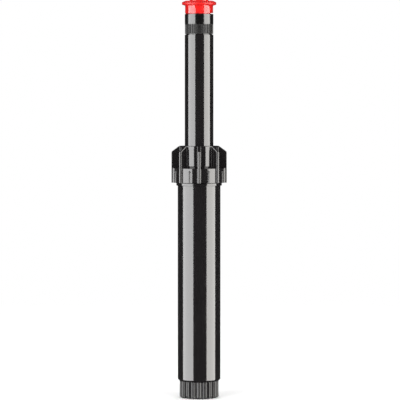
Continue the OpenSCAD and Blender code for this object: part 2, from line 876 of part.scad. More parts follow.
// the plug that rides the guide legs and closes the orifice windows from below
module throttle_plug() {
    low = plug_top_z - plug_h;
    color(NATURAL)
        difference() {
            rotate_extrude()
                polygon([
                    [screw_r + running, low],
                    [plug_r - 0.3, low],
                    [plug_r, low + 0.3],
                    [plug_r, plug_top_z - 0.5],
                    [plug_r - 0.5, plug_top_z],
                    [screw_r + running, plug_top_z]
                ]);
            for (side = [0, 180])
                rotate([0, 0, side])
                    translate([leg_in_r - 0.1, -leg_w / 2 - 0.1, low - 1])
                        cube([5, leg_w + 0.2, plug_h + 2]);
        }
}

// the moulded cage of the filter: flange, barred sleeve and closed bottom
module filter_cage() {
    low = neck_top_z - filter_len;
    band = 2.4;
    pitch = (filter_len - 6 - band) / window_rows;
    color(NATURAL)
        difference() {
            union() {
                ring(neck_root_r, filter_bore_r, neck_top_z, plate_z);
                ring(filter_r, filter_bore_r, low, neck_top_z + eps);
                translate([0, 0, low]) cylinder(r = filter_r, h = 1.2);
            }
            for (row = [0 : window_rows - 1], i = [0 : window_n - 1])
                rotate([0, 0, i * 360 / window_n])
                    translate([filter_bore_r - 0.4, -window_w() / 2, low + band + row * pitch])
                        cube([2, window_w(), pitch - window_bar]);
        }
}

// width of a filter window, which leaves a bar between two windows
function window_w() = 2 * (filter_bore_r - 0.4) * sin(180 / window_n) - window_bar;

// the fine sleeve inside the cage that holds the grit back
module filter_mesh() {
    low = neck_top_z - filter_len + 1.2;
    top = plate_z - leg_h - 2;
    color(STEEL) ring(filter_bore_r, filter_bore_r - mesh_t, low, top);
}

case_body();
cap();
wiper_seal();
seal_retainer();
retraction_spring();
ratchet_ring();
riser_foot();
foot_seal();
riser_stem();
nozzle_base();
arc_collar();
deflector();
radius_screw();
screw_oring();
throttle_plug();
filter_cage();
filter_mesh();
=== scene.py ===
"""Pop-up spray sprinkler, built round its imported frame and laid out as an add-on.

Lengths in the property groups are metres. The shape functions work in millimetres, round the
axis of the riser, and the meshes are scaled to metres when they are made.
"""

import bpy
import numpy as np
from bpy.props import FloatProperty, FloatVectorProperty, IntProperty, PointerProperty
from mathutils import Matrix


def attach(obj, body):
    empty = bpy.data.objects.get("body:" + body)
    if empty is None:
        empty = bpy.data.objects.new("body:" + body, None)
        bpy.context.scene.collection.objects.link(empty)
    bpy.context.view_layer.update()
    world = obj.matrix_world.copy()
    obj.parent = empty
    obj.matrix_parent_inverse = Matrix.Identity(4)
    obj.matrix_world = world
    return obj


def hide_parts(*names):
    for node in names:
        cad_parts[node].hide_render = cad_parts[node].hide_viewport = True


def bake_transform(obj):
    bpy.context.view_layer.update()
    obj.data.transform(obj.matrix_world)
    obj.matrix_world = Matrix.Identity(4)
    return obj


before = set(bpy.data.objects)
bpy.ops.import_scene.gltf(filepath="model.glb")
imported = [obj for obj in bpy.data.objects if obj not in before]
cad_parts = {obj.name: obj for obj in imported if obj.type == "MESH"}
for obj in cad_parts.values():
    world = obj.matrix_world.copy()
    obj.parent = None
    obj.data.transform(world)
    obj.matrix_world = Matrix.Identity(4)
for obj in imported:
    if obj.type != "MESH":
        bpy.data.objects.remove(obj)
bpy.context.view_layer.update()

bl_info = {
    "name": "Pop-up Spray Sprinkler",
    "version": (1, 0, 0),
    "blender": (4, 5, 0),
    "location": "View3D > Sidebar > Sprinkler",
    "description": "Builds a pop-up spray sprinkler, its finishes and a studio stage",
    "category": "Object",
}

MM = 0.001
TURN = 2 * np.pi


# ---------- profiles and grids


def rounded(corners, steps=4, lead=0.08):
    """A closed profile with rounded corners, as rows of (radius, height).

    corners has rows (radius, height, rounding). The arc of a corner touches both of its sides:
    its centre lies on the bisector at rounding / sin(half the corner's angle), and its points
    are the spherical mix of the two directions from the centre to where it touches. One more
    point a short way along each side keeps the flats flat when the mesh is shaded smooth.
    """
    table = np.asarray(corners, float)
    tip, radius = table[:, :2], table[:, 2:3]
    back = np.roll(tip, 1, 0) - tip
    ahead = np.roll(tip, -1, 0) - tip
    back_len = np.linalg.norm(back, axis=1, keepdims=True)
    ahead_len = np.linalg.norm(ahead, axis=1, keepdims=True)
    back, ahead = back / back_len, ahead / ahead_len
    cosine = np.clip((back * ahead).sum(1, keepdims=True), -0.9999, 0.9999)
    half = np.arccos(cosine) / 2
    cut = np.minimum(radius / np.tan(half), 0.42 * np.minimum(back_len, ahead_len))
    radius = cut * np.tan(half)
    middle = back + ahead
    middle /= np.linalg.norm(middle, axis=1, keepdims=True)
    centre = tip + middle * radius / np.sin(half)
    first, last = tip + back * cut, tip + ahead * cut
    sweep = (np.pi - 2 * half)[:, :, None]
    share = np.linspace(0, 1, steps + 1)[None, :, None]
    arc = centre[:, None] + (
        np.sin((1 - share) * sweep) * (first - centre)[:, None]
        + np.sin(share * sweep) * (last - centre)[:, None]
    ) / np.sin(sweep)
    before = first + back * np.minimum(lead, 0.3 * (back_len - cut))
    after = last + ahead * np.minimum(lead, 0.3 * (ahead_len - cut))
    return np.concatenate((before[:, None], arc, after[:, None]), 1).reshape(-1, 2)


def refined(profile, low, high, step):
    """The profile with more points on the sides whose middle lies in a window.

    low and high are the window's (radius, height) corners. Such a side is cut into equal
    pieces no longer than step, each point a linear share of the way from one end to the next.
    """
    ahead = np.roll(profile, -1, 0)
    middle = (profile + ahead) / 2
    inside = ((middle >= low) & (middle <= high)).all(1)
    length = np.linalg.norm(ahead - profile, axis=1)
    pieces = np.where(inside, np.ceil(length / step), 1).astype(int)
    pieces = np.maximum(pieces, 1)
    index = np.repeat(np.arange(len(profile)), pieces)
    count = np.arange(len(index)) - np.repeat(np.cumsum(pieces) - pieces, pieces)
    share = (count / pieces[index])[:, None]
    return profile[index] * (1 - share) + ahead[index] * share


def turned(profile, angles):
    """Radius and height grids of a profile carried round the axis: a row for each point."""
    flat = np.ones_like(angles)
    return profile[:, :1] * flat, profile[:, 1:] * flat


def placed(radius, height, angles):
    """Points of a grid from radius, height and angle: (r cos a, r sin a, z)."""
    return np.stack((radius * np.cos(angles), radius * np.sin(angles), height), -1)


def smooth(value, low, high):
    """0 below low, 1 above high, and 3s^2 - 2s^3 of the share s between them."""
    share = np.clip((value - low) / (high - low), 0, 1)
    return share * share * (3 - 2 * share)


def off_centre(angles, count, first=-TURN / 4):
    """Angle from each direction to the nearest of count equal ribs, the first at angle first."""
    share = (angles - first) * count / TURN
    return (share - np.round(share)) * TURN / count


def rib_angles(count, fractions, first=-TURN / 4):
    """Directions that put the same fractions of a rib's pitch on every rib."""
    ribs = np.arange(count)[:, None] + np.asarray(fractions)[None, :]
    return first + (ribs * TURN / count).ravel()


def thread_wave(height, angles, start, pitch, foot, tip):
    """0 to 1 across a helical ridge: the height is measured in pitches up from start, less the
    share of a turn, and the ridge slopes from its foot to its tip, both as shares of the pitch."""
    turns = (height - start) / pitch - angles / TURN
    away = np.abs(turns - np.round(turns))
    return 1 - smooth(away, tip / 2, foot / 2)


def threaded(radius, height, angles, wall, ends, start, pitch, foot, rise, fall, depth):
    """The radius with a helical ridge on one wall. wall is that wall's radius and ends are the
    heights it lies between. The ridge stands depth out, or in where depth is below 0, and
    fades in over the heights rise and out over the heights fall."""
    on_wall = (np.abs(radius - wall) < 0.01) & (height > ends[0]) & (height < ends[1])
    ridge = thread_wave(height, angles, start, pitch, foot, 0.12)
    taper = smooth(height, *rise) * (1 - smooth(height, *fall))
    return np.where(on_wall, radius + depth * ridge * taper, radius)


def plain_angles(count):
    """Equal steps round the axis."""
    return np.arange(count) * TURN / count


# ---------- meshes


def grid_faces(rows, columns, wrap):
    """Quads of a grid whose columns close on themselves, and whose rows do too if wrap is set."""
    i = np.arange(rows if wrap else rows - 1)[:, None]
    j = np.arange(columns)[None, :]
    right = (j + 1) % columns
    up = (i + 1) % rows
    corners = (i * columns + j, i * columns + right, up * columns + right, up * columns + j)
    return np.stack(np.broadcast_arrays(*corners), -1).reshape(-1, 4)


def edge_share(points, wrap, sign):
    """How far each grid point stands out from the mean of its four neighbours, along the
    outward normal, over its mean distance to them: 0 on flats, near 1 on a sharp ridge."""
    up, down = np.roll(points, -1, 0), np.roll(points, 1, 0)
    right, left = np.roll(points, -1, 1), np.roll(points, 1, 1)
    normal = np.cross(right - left, up - down) * sign
    normal /= np.linalg.norm(normal, axis=2, keepdims=True) + 1e-12
    reach = sum(np.linalg.norm(n - points, axis=2) for n in (up, down, right, left)) / 4
    proud = ((points - (up + down + right + left) / 4) * normal).sum(2) / (reach + 1e-9)
    if not wrap:
        proud[[0, -1]] = 0
    return np.clip(proud * 2.2, 0, 1).ravel()


def shell_parts(points, wrap):
    """Vertices, quads, end caps and edge shares of one closed shell, its faces outwards.

    points is a grid of rows and columns. The signed volume is the sum of each face's fan of
    v0 . (v1 x v2) over the first corner, and a negative sum turns every face round.
    """
    rows, columns = points.shape[:2]
    faces = grid_faces(rows, columns, wrap)
    caps = np.zeros((0, columns), int)
    if not wrap:
        ends = np.arange(columns)
        caps = np.stack((ends[::-1], (rows - 1) * columns + ends))
    corners = points.reshape(-1, 3)
    a, b, c, d = (corners[faces[:, k]] for k in range(4))
    volume = (a * np.cross(b, c)).sum() + (a * np.cross(c, d)).sum()
    if len(caps):
        hub = corners[caps[:, 0]][:, None]
        rim = corners[caps]
        volume += (hub * np.cross(rim[:, :-1], rim[:, 1:])).sum()
    sign = 1
    if volume < 0:
        faces, caps, sign = faces[:, ::-1], caps[:, ::-1], -1
    return corners, faces, caps, edge_share(points, wrap, sign)


def make_piece(name, shells, body, node, finish):
    """One object from closed shells, in place, with its finish, its body if it has just one,
    and the CAD node that it stands for."""
    parts = [shell_parts(np.asarray(points, float), wrap) for points, wrap in shells]
    starts = np.cumsum([0] + [len(p[0]) for p in parts])
    corners = np.concatenate([p[0] for p in parts]) * MM
    quads = np.concatenate([p[1] + s for p, s in zip(parts, starts)])
    loops, sizes = [quads.ravel()], [np.full(len(quads), 4)]
    for part, start in zip(parts, starts):
        loops.append((part[2] + start).ravel())
        sizes.append(np.full(len(part[2]), part[2].shape[1]))
    loops, sizes = np.concatenate(loops), np.concatenate(sizes)
    mesh = bpy.data.meshes.new(name)
    mesh.vertices.add(len(corners))
    mesh.vertices.foreach_set("co", corners.ravel())
    mesh.loops.add(len(loops))
    mesh.loops.foreach_set("vertex_index", loops.astype(np.int32))
    mesh.polygons.add(len(sizes))
    mesh.polygons.foreach_set("loop_start", (np.cumsum(sizes) - sizes).astype(np.int32))
    mesh.update(calc_edges=True)
    if mesh.validate():
        raise RuntimeError(f"the mesh of {name} had faults")
    mesh.shade_smooth()
    mesh.set_sharp_from_angle(angle=np.radians(55))
    edge = mesh.attributes.new("edge", "FLOAT", "POINT")
    edge.data.foreach_set("value", np.concatenate([p[3] for p in parts]).astype(np.float32))
    piece = bpy.data.objects.new(name, mesh)
    bpy.context.scene.collection.objects.link(piece)
    mesh.materials.append(material(finish))
    if body:
        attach(piece, body)
    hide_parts(node)
    return piece


# ---------- shader graphs


class Value:
    """A number on its way through a node tree. Arithmetic on it adds Math nodes."""

    def __init__(self, tree, socket):
        self.tree = tree
        self.socket = socket

    def math(self, operation, first, second):
        node = self.tree.nodes.new("ShaderNodeMath")
        node.operation = operation
        for socket, item in zip(node.inputs, (first, second)):
            if isinstance(item, Value):
                self.tree.links.new(item.socket, socket)
            else:
                socket.default_value = item
        return Value(self.tree, node.outputs[0])

    def __add__(self, other):
        return self.math("ADD", self, other)

    def __radd__(self, other):
        return self.math("ADD", other, self)

    def __sub__(self, other):
        return self.math("SUBTRACT", self, other)

    def __rsub__(self, other):
        return self.math("SUBTRACT", other, self)

    def __mul__(self, other):
        return self.math("MULTIPLY", self, other)

    def __rmul__(self, other):
        return self.math("MULTIPLY", other, self)


class Graph:
    """The node tree of one material or of the world."""

    def __init__(self, owner):
        self.owner = owner
        owner.use_nodes = True
        self.tree = owner.node_tree

    def add(self, kind, settings=None, values=None, out=0):
        """A new node: its settings are set first, then its sockets' values or links."""
        node = self.tree.nodes.new(kind)
        for key, setting in (settings or {}).items():
            setattr(node, key, setting)
        for key, item in (values or {}).items():
            if isinstance(item, Value):
                self.tree.links.new(item.socket, node.inputs[key])
            else:
                node.inputs[key].default_value = item
        return Value(self.tree, node.outputs[out])

    def place(self, stretch=(1, 1, 1)):
        """Object coordinates in metres, stretched along each axis."""
        here = self.add("ShaderNodeTexCoord", out="Object")
        if stretch == (1, 1, 1):
            return here
        return self.add("ShaderNodeVectorMath", {"operation": "MULTIPLY"}, {0: here, 1: stretch})

    def noise(self, scale, detail=2.0, stretch=(1, 1, 1)):
        """Noise from 0 to 1, scale features to the metre."""
        values = {"Vector": self.place(stretch), "Scale": scale, "Detail": detail}
        return self.add("ShaderNodeTexNoise", None, values, "Fac")

    def between(self, value, low, high):
        """0 below low, 1 above high, smooth between them."""
        values = {"Value": value, "From Min": low, "From Max": high}
        return self.add("ShaderNodeMapRange", {"interpolation_type": "SMOOTHSTEP"}, values)

    def mix(self, factor, first, second):
        """A colour, first where factor is 0 and second where it is 1."""
        settings = {"data_type": "RGBA", "clamp_factor": True}
        return self.add("ShaderNodeMix", settings, {0: factor, 6: first, 7: second}, 2)

    def axis_parts(self):
        """x, y and z of the object coordinates."""
        split = self.add("ShaderNodeSeparateXYZ", None, {0: self.place()})
        node = split.socket.node
        return [Value(self.tree, node.outputs[k]) for k in range(3)]

    def math(self, operation, first, second=0.0):
        """Any other Math node."""
        return Value(self.tree, None).math(operation, first, second)

    def edge(self):
        """The share by which a point stands out as an edge, stored on the built pieces."""
        settings = {"attribute_type": "GEOMETRY", "attribute_name": "edge"}
        return self.add("ShaderNodeAttribute", settings, out="Fac")

    def bump(self, height, strength, distance):
        """A normal from a height, with the real depth of the relief in metres."""
        values = {"Height": height, "Strength": strength, "Distance": distance}
        return self.add("ShaderNodeBump", None, values)

    def surface(self, colour, roughness, normal, **constants):
        """Links the varying inputs of the shader and sets the others on its own sockets."""
        shader = self.tree.nodes["Principled BSDF"]
        varying = {"Base Color": colour, "Roughness": roughness, "Normal": normal}
        for key, item in varying.items():
            if isinstance(item, Value):
                self.tree.links.new(item.socket, shader.inputs[key])
            else:
                shader.inputs[key].default_value = item
        for key, item in constants.items():
            shader.inputs[key.replace("_", " ")].default_value = item
        return self.owner


def new_graph(name):
    return Graph(bpy.data.materials.new(name))


def shade(colour, factor):
    """An RGBA colour scaled by factor."""
    return tuple(min(1.0, channel * factor) for channel in colour[:3]) + (1.0,)


def moulded(name, colour, gloss, grain_depth, grain_scale, worn, shine):
    """Injection-moulded plastic: pigment drift, draw lines along the mould's opening, fine
    peel, handling smudges, specks of dust and rubbed edges."""
    g = new_graph(name)
    drift = g.noise(38.0, 3.0)
    lines = g.noise(1.0, 3.0, (850.0, 850.0, 9.0))
    peel = g.noise(grain_scale, 2.0)
    smudge = g.between(g.noise(120.0, 4.0), 0.46, 0.74)
    dust = g.between(g.noise(2900.0, 1.0), 0.70, 0.76)
    rubbed = g.edge() * g.between(g.noise(420.0, 3.0), 0.36, 0.62)
    tone = g.mix(drift, shade(colour, 0.86), shade(colour, 1.14))
    tone = g.mix(rubbed * 0.65, tone, shade(colour, worn))
    tone = g.mix(dust * 0.25, tone, shade(colour, worn + 0.6))
    rough = gloss + 0.045 * smudge + 0.03 * lines + 0.16 * rubbed + 0.12 * dust
    height = peel + 0.55 * lines + 0.35 * drift
    return g.surface(
        tone, rough, g.bump(height, 0.5, grain_depth), IOR=1.5, Specular_IOR_Level=shine
    )


def rubber(name, colour):
    """Moulded rubber: matt, fine pitted skin, a pale bloom in patches."""
    g = new_graph(name)
    bloom = g.between(g.noise(170.0, 4.0), 0.5, 0.8)
    pits = g.between(g.noise(2400.0, 2.0), 0.3, 0.55)
    flow = g.noise(1.0, 2.0, (300.0, 300.0, 1300.0))
    tone = g.mix(bloom * 0.5, colour, shade(colour, 2.0))
    tone = g.mix(1 - pits, tone, shade(colour, 0.7))
    rough = 0.52 + 0.14 * bloom + 0.08 * flow
    return g.surface(tone, rough, g.bump(pits + 0.4 * flow, 0.6, 0.00005), IOR=1.52)


def drawn_steel(name, colour):
    """Drawn spring wire: fine die lines, a faint straw tint in places and specks of grime."""
    g = new_graph(name)
    die = g.noise(1.0, 3.0, (900.0, 900.0, 5200.0))
    tint = g.between(g.noise(95.0, 3.0), 0.4, 0.75)
    grime = g.between(g.noise(700.0, 4.0), 0.62, 0.74)
    straw = (colour[0] * 1.02, colour[1] * 0.9, colour[2] * 0.72, 1.0)
    tone = g.mix(tint * 0.55, colour, straw)
    tone = g.mix(grime * 0.6, tone, shade(colour, 0.3))
    rough = 0.2 + 0.14 * die + 0.3 * grime
    return g.surface(tone, rough, g.bump(die, 0.5, 0.00002), Metallic=1.0)


def turned_steel(name, colour, pitch=0.00011):
    """Turned stainless steel: rings of the tool round the axis, light scratches and stains."""
    g = new_graph(name)
    x, y, z = g.axis_parts()
    radius = g.math("SQRT", x * x + y * y)
    rings = g.math("SINE", (radius + z) * (TURN / pitch))
    scratch = g.between(g.noise(1.0, 2.0, (300.0, 4200.0, 900.0)), 0.62, 0.7)
    stain = g.between(g.noise(900.0, 3.0), 0.5, 0.75)
    tone = g.mix(stain * 0.4, colour, shade(colour, 0.6))
    rough = 0.24 + 0.12 * stain + 0.15 * scratch
    height = rings * 0.5 - 0.8 * scratch
    return g.surface(tone, rough, g.bump(height, 0.5, 0.000012), Metallic=1.0)


def milky(name, colour):
    """Unpigmented engineering plastic: waxy, slightly cloudy, with flow lines and fine specks."""
    g = new_graph(name)
    cloud = g.noise(120.0, 4.0)
    flow = g.noise(1.0, 3.0, (400.0, 400.0, 60.0))
    speck = g.between(g.noise(2200.0, 1.0), 0.72, 0.78)
    tone = g.mix(cloud, shade(colour, 0.9), shade(colour, 1.06))
    tone = g.mix(speck * 0.6, tone, shade(colour, 0.45))
    rough = 0.34 + 0.12 * cloud + 0.06 * flow
    height = flow + 0.5 * cloud
    return g.surface(tone, rough, g.bump(height, 0.4, 0.00004), IOR=1.48)


def woven(name, colour, strands=150.0, pitch=0.00028):
    """Fine woven mesh rolled into a sleeve: the strands cross as sines of the angle round the
    axis and of the height, and the higher of the two shows."""
    g = new_graph(name)
    x, y, z = g.axis_parts()
    around = g.math("SINE", g.math("ARCTAN2", y, x) * strands)
    along = g.math("SINE", z * (TURN / pitch))
    warp = g.math("ABSOLUTE", around)
    weft = g.math("ABSOLUTE", along)
    weave = g.math("MAXIMUM", warp, weft)
    silt = g.between(g.noise(260.0, 4.0), 0.5, 0.78)
    tone = g.mix(g.between(weave, 0.35, 0.9), shade(colour, 0.35), colour)
    tone = g.mix(silt * 0.35, tone, (0.30, 0.24, 0.16, 1.0))
    rough = 0.42 + 0.2 * silt + 0.1 * weave
    return g.surface(tone, rough, g.bump(weave, 0.8, 0.00006), IOR=1.5)


def concrete(name, colour, clear_from, clear_to):
    """The pale floor: a faint mottle, clear beyond a radius so that it has no edge."""
    g = new_graph(name)
    x, y, _ = g.axis_parts()
    radius = g.math("SQRT", x * x + y * y)
    mottle = g.noise(14.0, 3.0)
    tone = g.mix(mottle, shade(colour, 0.985), colour)
    g.surface(tone, 0.9, g.bump(g.noise(600.0, 2.0), 0.1, 0.0001))
    fade = 1 - g.between(radius, clear_from, clear_to)
    shader = g.tree.nodes["Principled BSDF"]
    g.tree.links.new(fade.socket, shader.inputs["Alpha"])
    shader.inputs["Specular IOR Level"].default_value = 0.0
    return g.owner


# ---------- settings


def length(name, description, default):
    return FloatProperty(
        name=name, description=description, default=default * MM, unit="LENGTH", precision=5
    )


def colour(name, description, default):
    return FloatVectorProperty(
        name=name, description=description, default=default, subtype="COLOR", size=4, min=0, max=1
    )


class SprinklerCaseSettings(bpy.types.PropertyGroup):
    tube_r: length("Tube radius", "Outer radius of the case tube", 14.95)
    bore_r: length("Bore radius", "Inner radius of the case tube", 12.85)
    collar_r: length("Collar radius", "Radius over the ribs of the base collar", 13.74)
    collar_root_r: length("Collar root", "Radius between the ribs of the base collar", 12.94)
    rib_count: IntProperty(name="Ribs", description="Ribs round the base collar", default=22)
    rib_w: length("Rib width", "Width of a rib at its top", 0.9)
    inlet_r: length("Inlet radius", "Radius of the inlet thread's crests", 9.16)
    inlet_depth: length("Inlet thread depth", "Depth of the inlet thread's grooves", 1.38)
    inlet_pitch: length("Inlet pitch", "Pitch of the inlet thread", 1.814)
    scallop: length("Scallop", "How far the collar's lower edge lifts between the ribs", 0.5)
    key_h: length("Key height", "How far the key ribs stand in from the bore", 0.5)
    key_w: length("Key width", "Width of a key rib", 1.6)


class SprinklerCapSettings(bpy.types.PropertyGroup):
    skirt_r: length("Skirt radius", "Outer radius of the cap's skirt", 17.55)
    neck_r: length("Neck radius", "Radius of the neck above the skirt", 13.15)
    flare_r: length("Flare radius", "Radius of the neck at its top", 13.8)
    fin_r: length("Fin radius", "Radius over the fins", 19.35)
    fin_count: IntProperty(name="Fins", description="Fins round the cap", default=8)
    fin_t: length("Fin thickness", "Thickness of a fin", 2.2)
    fin_fillet: length("Fin fillet", "Rounding where a fin meets the cap", 0.3)
    fin_edge: length("Fin edge", "Rounding along a fin's outer edges", 1.04)
    seam_fillet: length("Seam fillet", "Rounding at the foot of the two seam fins", 1.7)
    seam_edge: length("Seam edge", "Rounding along the outer edges of the two seam fins", 0.32)
    marker_r: length("Marker radius", "Radius of the ball on top of a marker rib", 0.8)
    marker_rib_r: length("Marker rib", "Radius of the marker ribs between the fins", 0.5)
    thread_pitch: length("Thread pitch", "Pitch of the thread between cap and case", 2.3)


class SprinklerRiserSettings(bpy.types.PropertyGroup):
    riser_r: length("Riser radius", "Outer radius of the riser tube", 10.0)
    grip_r: length("Grip radius", "Radius over the ribs of the grip band", 9.9)
    grip_count: IntProperty(name="Grip ribs", description="Ribs round the grip band", default=44)
    grip_depth: length("Grip depth", "Depth of the grooves of the grip band", 0.5)
    smooth_r: length("Smooth band radius", "Radius of the band over the grip band", 9.97)
    teeth: IntProperty(name="Collar teeth", description="Teeth round the flange", default=50)
    notch: length("Notch depth", "Depth of the notches between the teeth", 0.45)
    skirt_r: length("Collar skirt radius", "Radius of the collar's skirt", 9.77)
    skirt_low: length("Collar lower edge", "Height of the thin lip under the collar's skirt", 268.5)
    flange_r: length("Flange radius", "Radius of the collar's flange", 11.97)
    ramp: length("Ramp", "Rise of the collar's lower edge over its open side", 0.45)
    wire_r: length("Wire radius", "Radius of the spring's wire", 0.6)
    coil_r: length("Coil radius", "Radius of the spring at the middle of its wire", 11.45)
    coils: IntProperty(name="Coils", description="Coils of the return spring", default=20)


class SprinklerFinishSettings(bpy.types.PropertyGroup):
    black: colour("Case black", "Gloss black of the case and cap", (0.0105, 0.0095, 0.0100, 1))
    nozzle: colour("Nozzle black", "Black of the nozzle", (0.0045, 0.0040, 0.0040, 1))
    red: colour("Collar red", "Red of the collar and deflector", (0.78, 0.016, 0.014, 1))
    rubber: colour("Seal black", "Rubber of the seals", (0.028, 0.027, 0.028, 1))
    steel: colour("Steel", "Steel of the spring and screw", (0.62, 0.61, 0.59, 1))
    milky: colour("Natural plastic", "Plastic of the inner parts", (0.68, 0.68, 0.62, 1))
    mesh: colour("Mesh", "Woven mesh of the filter", (0.50, 0.52, 0.50, 1))
    gloss: FloatProperty(
        name="Gloss", description="Roughness of the black mouldings", default=0.07, subtype="FACTOR"
    )


class SprinklerStageSettings(bpy.types.PropertyGroup):
    floor_r: length("Floor radius", "Radius at which the floor has faded out", 900.0)
    camera_far: length("Camera distance", "Distance of the camera from the axis", 1750.0)
    camera_up: length("Camera height", "Height of the camera over the floor", 208.0)
    aim_side: length("Aim sideways", "Sideways place of the camera's aim", 0.63)
    aim_up: length("Aim height", "Height of the camera's aim", 138.22)
    lens: FloatProperty(name="Lens", description="Focal length in millimetres", default=225.1)
    floor: colour("Floor", "Pale floor", (0.93, 0.93, 0.93, 1))


class SprinklerSettings(bpy.types.PropertyGroup):
    case: PointerProperty(type=SprinklerCaseSettings)
    cap: PointerProperty(type=SprinklerCapSettings)
    riser: PointerProperty(type=SprinklerRiserSettings)
    finish: PointerProperty(type=SprinklerFinishSettings)
    stage: PointerProperty(type=SprinklerStageSettings)


def sizes(group):
    """The group's lengths in millimetres and its counts as they are, by name."""
    values = {}
    for key, kind in group.bl_rna.properties.items():
        if kind.type == "FLOAT" and kind.unit == "LENGTH":
            values[key] = getattr(group, key) / MM
        elif kind.type == "INT":
            values[key] = getattr(group, key)
    return values


def finish_of(key):
    return tuple(getattr(bpy.context.scene.sprinkler.finish, key))


# Each moulded finish: its material's name, its colour and how far that is dimmed, its share of
# the gloss setting and the roughness added to that, the grain's depth in metres and features to
# the metre, how much paler it is where it is rubbed, and its specular level.
MOULDINGS = {
    "gloss_black": ("gloss_black_moulding", "black", 1.0, 1, 0.0, 0.000012, 1500.0, 1.9, 0.5),
    "cap_black": ("cap_black_moulding", "black", 1.0, 1, 0.0, 0.000014, 1500.0, 1.9, 0.5),
    "riser_black": ("riser_black_moulding", "black", 1.0, 1, 0.0, 0.000008, 1900.0, 1.9, 0.5),
    "nozzle_black": ("nozzle_black_moulding", "nozzle", 1.0, 1, 0.05, 0.000016, 2300.0, 1.9, 0.5),
    "red": ("collar_red_moulding", "red", 1.0, 1, 0.05, 0.000014, 1700.0, 1.12, 0.4),
    "satin_black": ("base_collar_satin", "black", 1.0, 0, 0.18, 0.00003, 2600.0, 1.9, 0.2),
    "satin_grip": ("grip_band_satin", "nozzle", 1.0, 0, 0.09, 0.00001, 2600.0, 1.9, 0.27),
    # The notch finish is painted shade: the red is dimmed to 0.3 to stand in for the shade deep in
    # the narrow notches between the teeth.
    "red_notch": ("flange_notch_grime", "red", 0.3, 0, 0.4, 0.000014, 1700.0, 1.2, 0.1),
    "red_flange": ("flange_red_satin", "red", 1.0, 0, 0.3, 0.000014, 1700.0, 1.12, 0.14),
}
# Each other finish: the function that makes it, its material's name and its colour.
OTHER_FINISHES = {
    "rubber": (rubber, "seal_rubber", "rubber"),
    "wire": (drawn_steel, "spring_wire_steel", "steel"),
    "screw": (turned_steel, "screw_steel", "steel"),
    "milky": (milky, "natural_plastic", "milky"),
    "mesh": (woven, "filter_weave", "mesh"),
}
_made = {}


def material(key):
    """The finish of that name, made once."""
    if key not in _made:
        if key in MOULDINGS:
            name, base, dim, share, rough, *grain = MOULDINGS[key]
            gloss = bpy.context.scene.sprinkler.finish.gloss
            _made[key] = moulded(name, shade(finish_of(base), dim), gloss * share + rough, *grain)
        else:
            maker, name, base = OTHER_FINISHES[key]
            _made[key] = maker(name, finish_of(base))
    return _made[key]


# ---------- shapes


# The threads: see threaded() for what each value is. The cap's pitch is a setting.
CASE_THREAD = {
    "wall": 14.75, "ends": (150.5, 157.9), "start": 152.05, "pitch": 2.3, "foot": 0.42,
    "rise": (150.7, 151.3), "fall": (156.9, 157.6), "depth": 0.8,
}  # fmt: skip
CAP_THREAD = {
    "wall": 15.75, "ends": (150.8, 159.2), "start": 150.9, "foot": 0.42,
    "rise": (151.0, 151.6), "fall": (156.9, 157.6), "depth": -0.8,
}  # fmt: skip
NECK_THREAD = {
    "wall": 8.2, "ends": (254.5, 261.9), "start": 255.4, "pitch": 1.6, "foot": 0.42,
    "rise": (254.7, 255.1), "fall": (260.4, 261.0), "depth": 0.4,
}  # fmt: skip
NOZZLE_THREAD = {
    "wall": 8.7, "ends": (255.0, 262.6), "start": 254.6, "pitch": 1.6, "foot": 0.4,
    "rise": (255.2, 255.6), "fall": (260.2, 260.8), "depth": -0.4,
}  # fmt: skip
# Where a piece has a further finish: lowest height, highest height and least radius.
BASE_BAND = (-1.0, 11.33, 11.0)
GRIP_BAND = (254.4, 261.1, 9.2)
FLANGE_BAND = (274.3, 276.6, 10.3)
# The notch band gets painted shade: its faces in the notches take the dimmed red in place of the
# shade that falls in them.
NOTCH_BAND = (275.6, 277.2, 9.9)
# Heights of the ratchet ring's top and the retainer's underside, where the spring ends.
SPRING_LOW, SPRING_HIGH = 118.5, 151.9


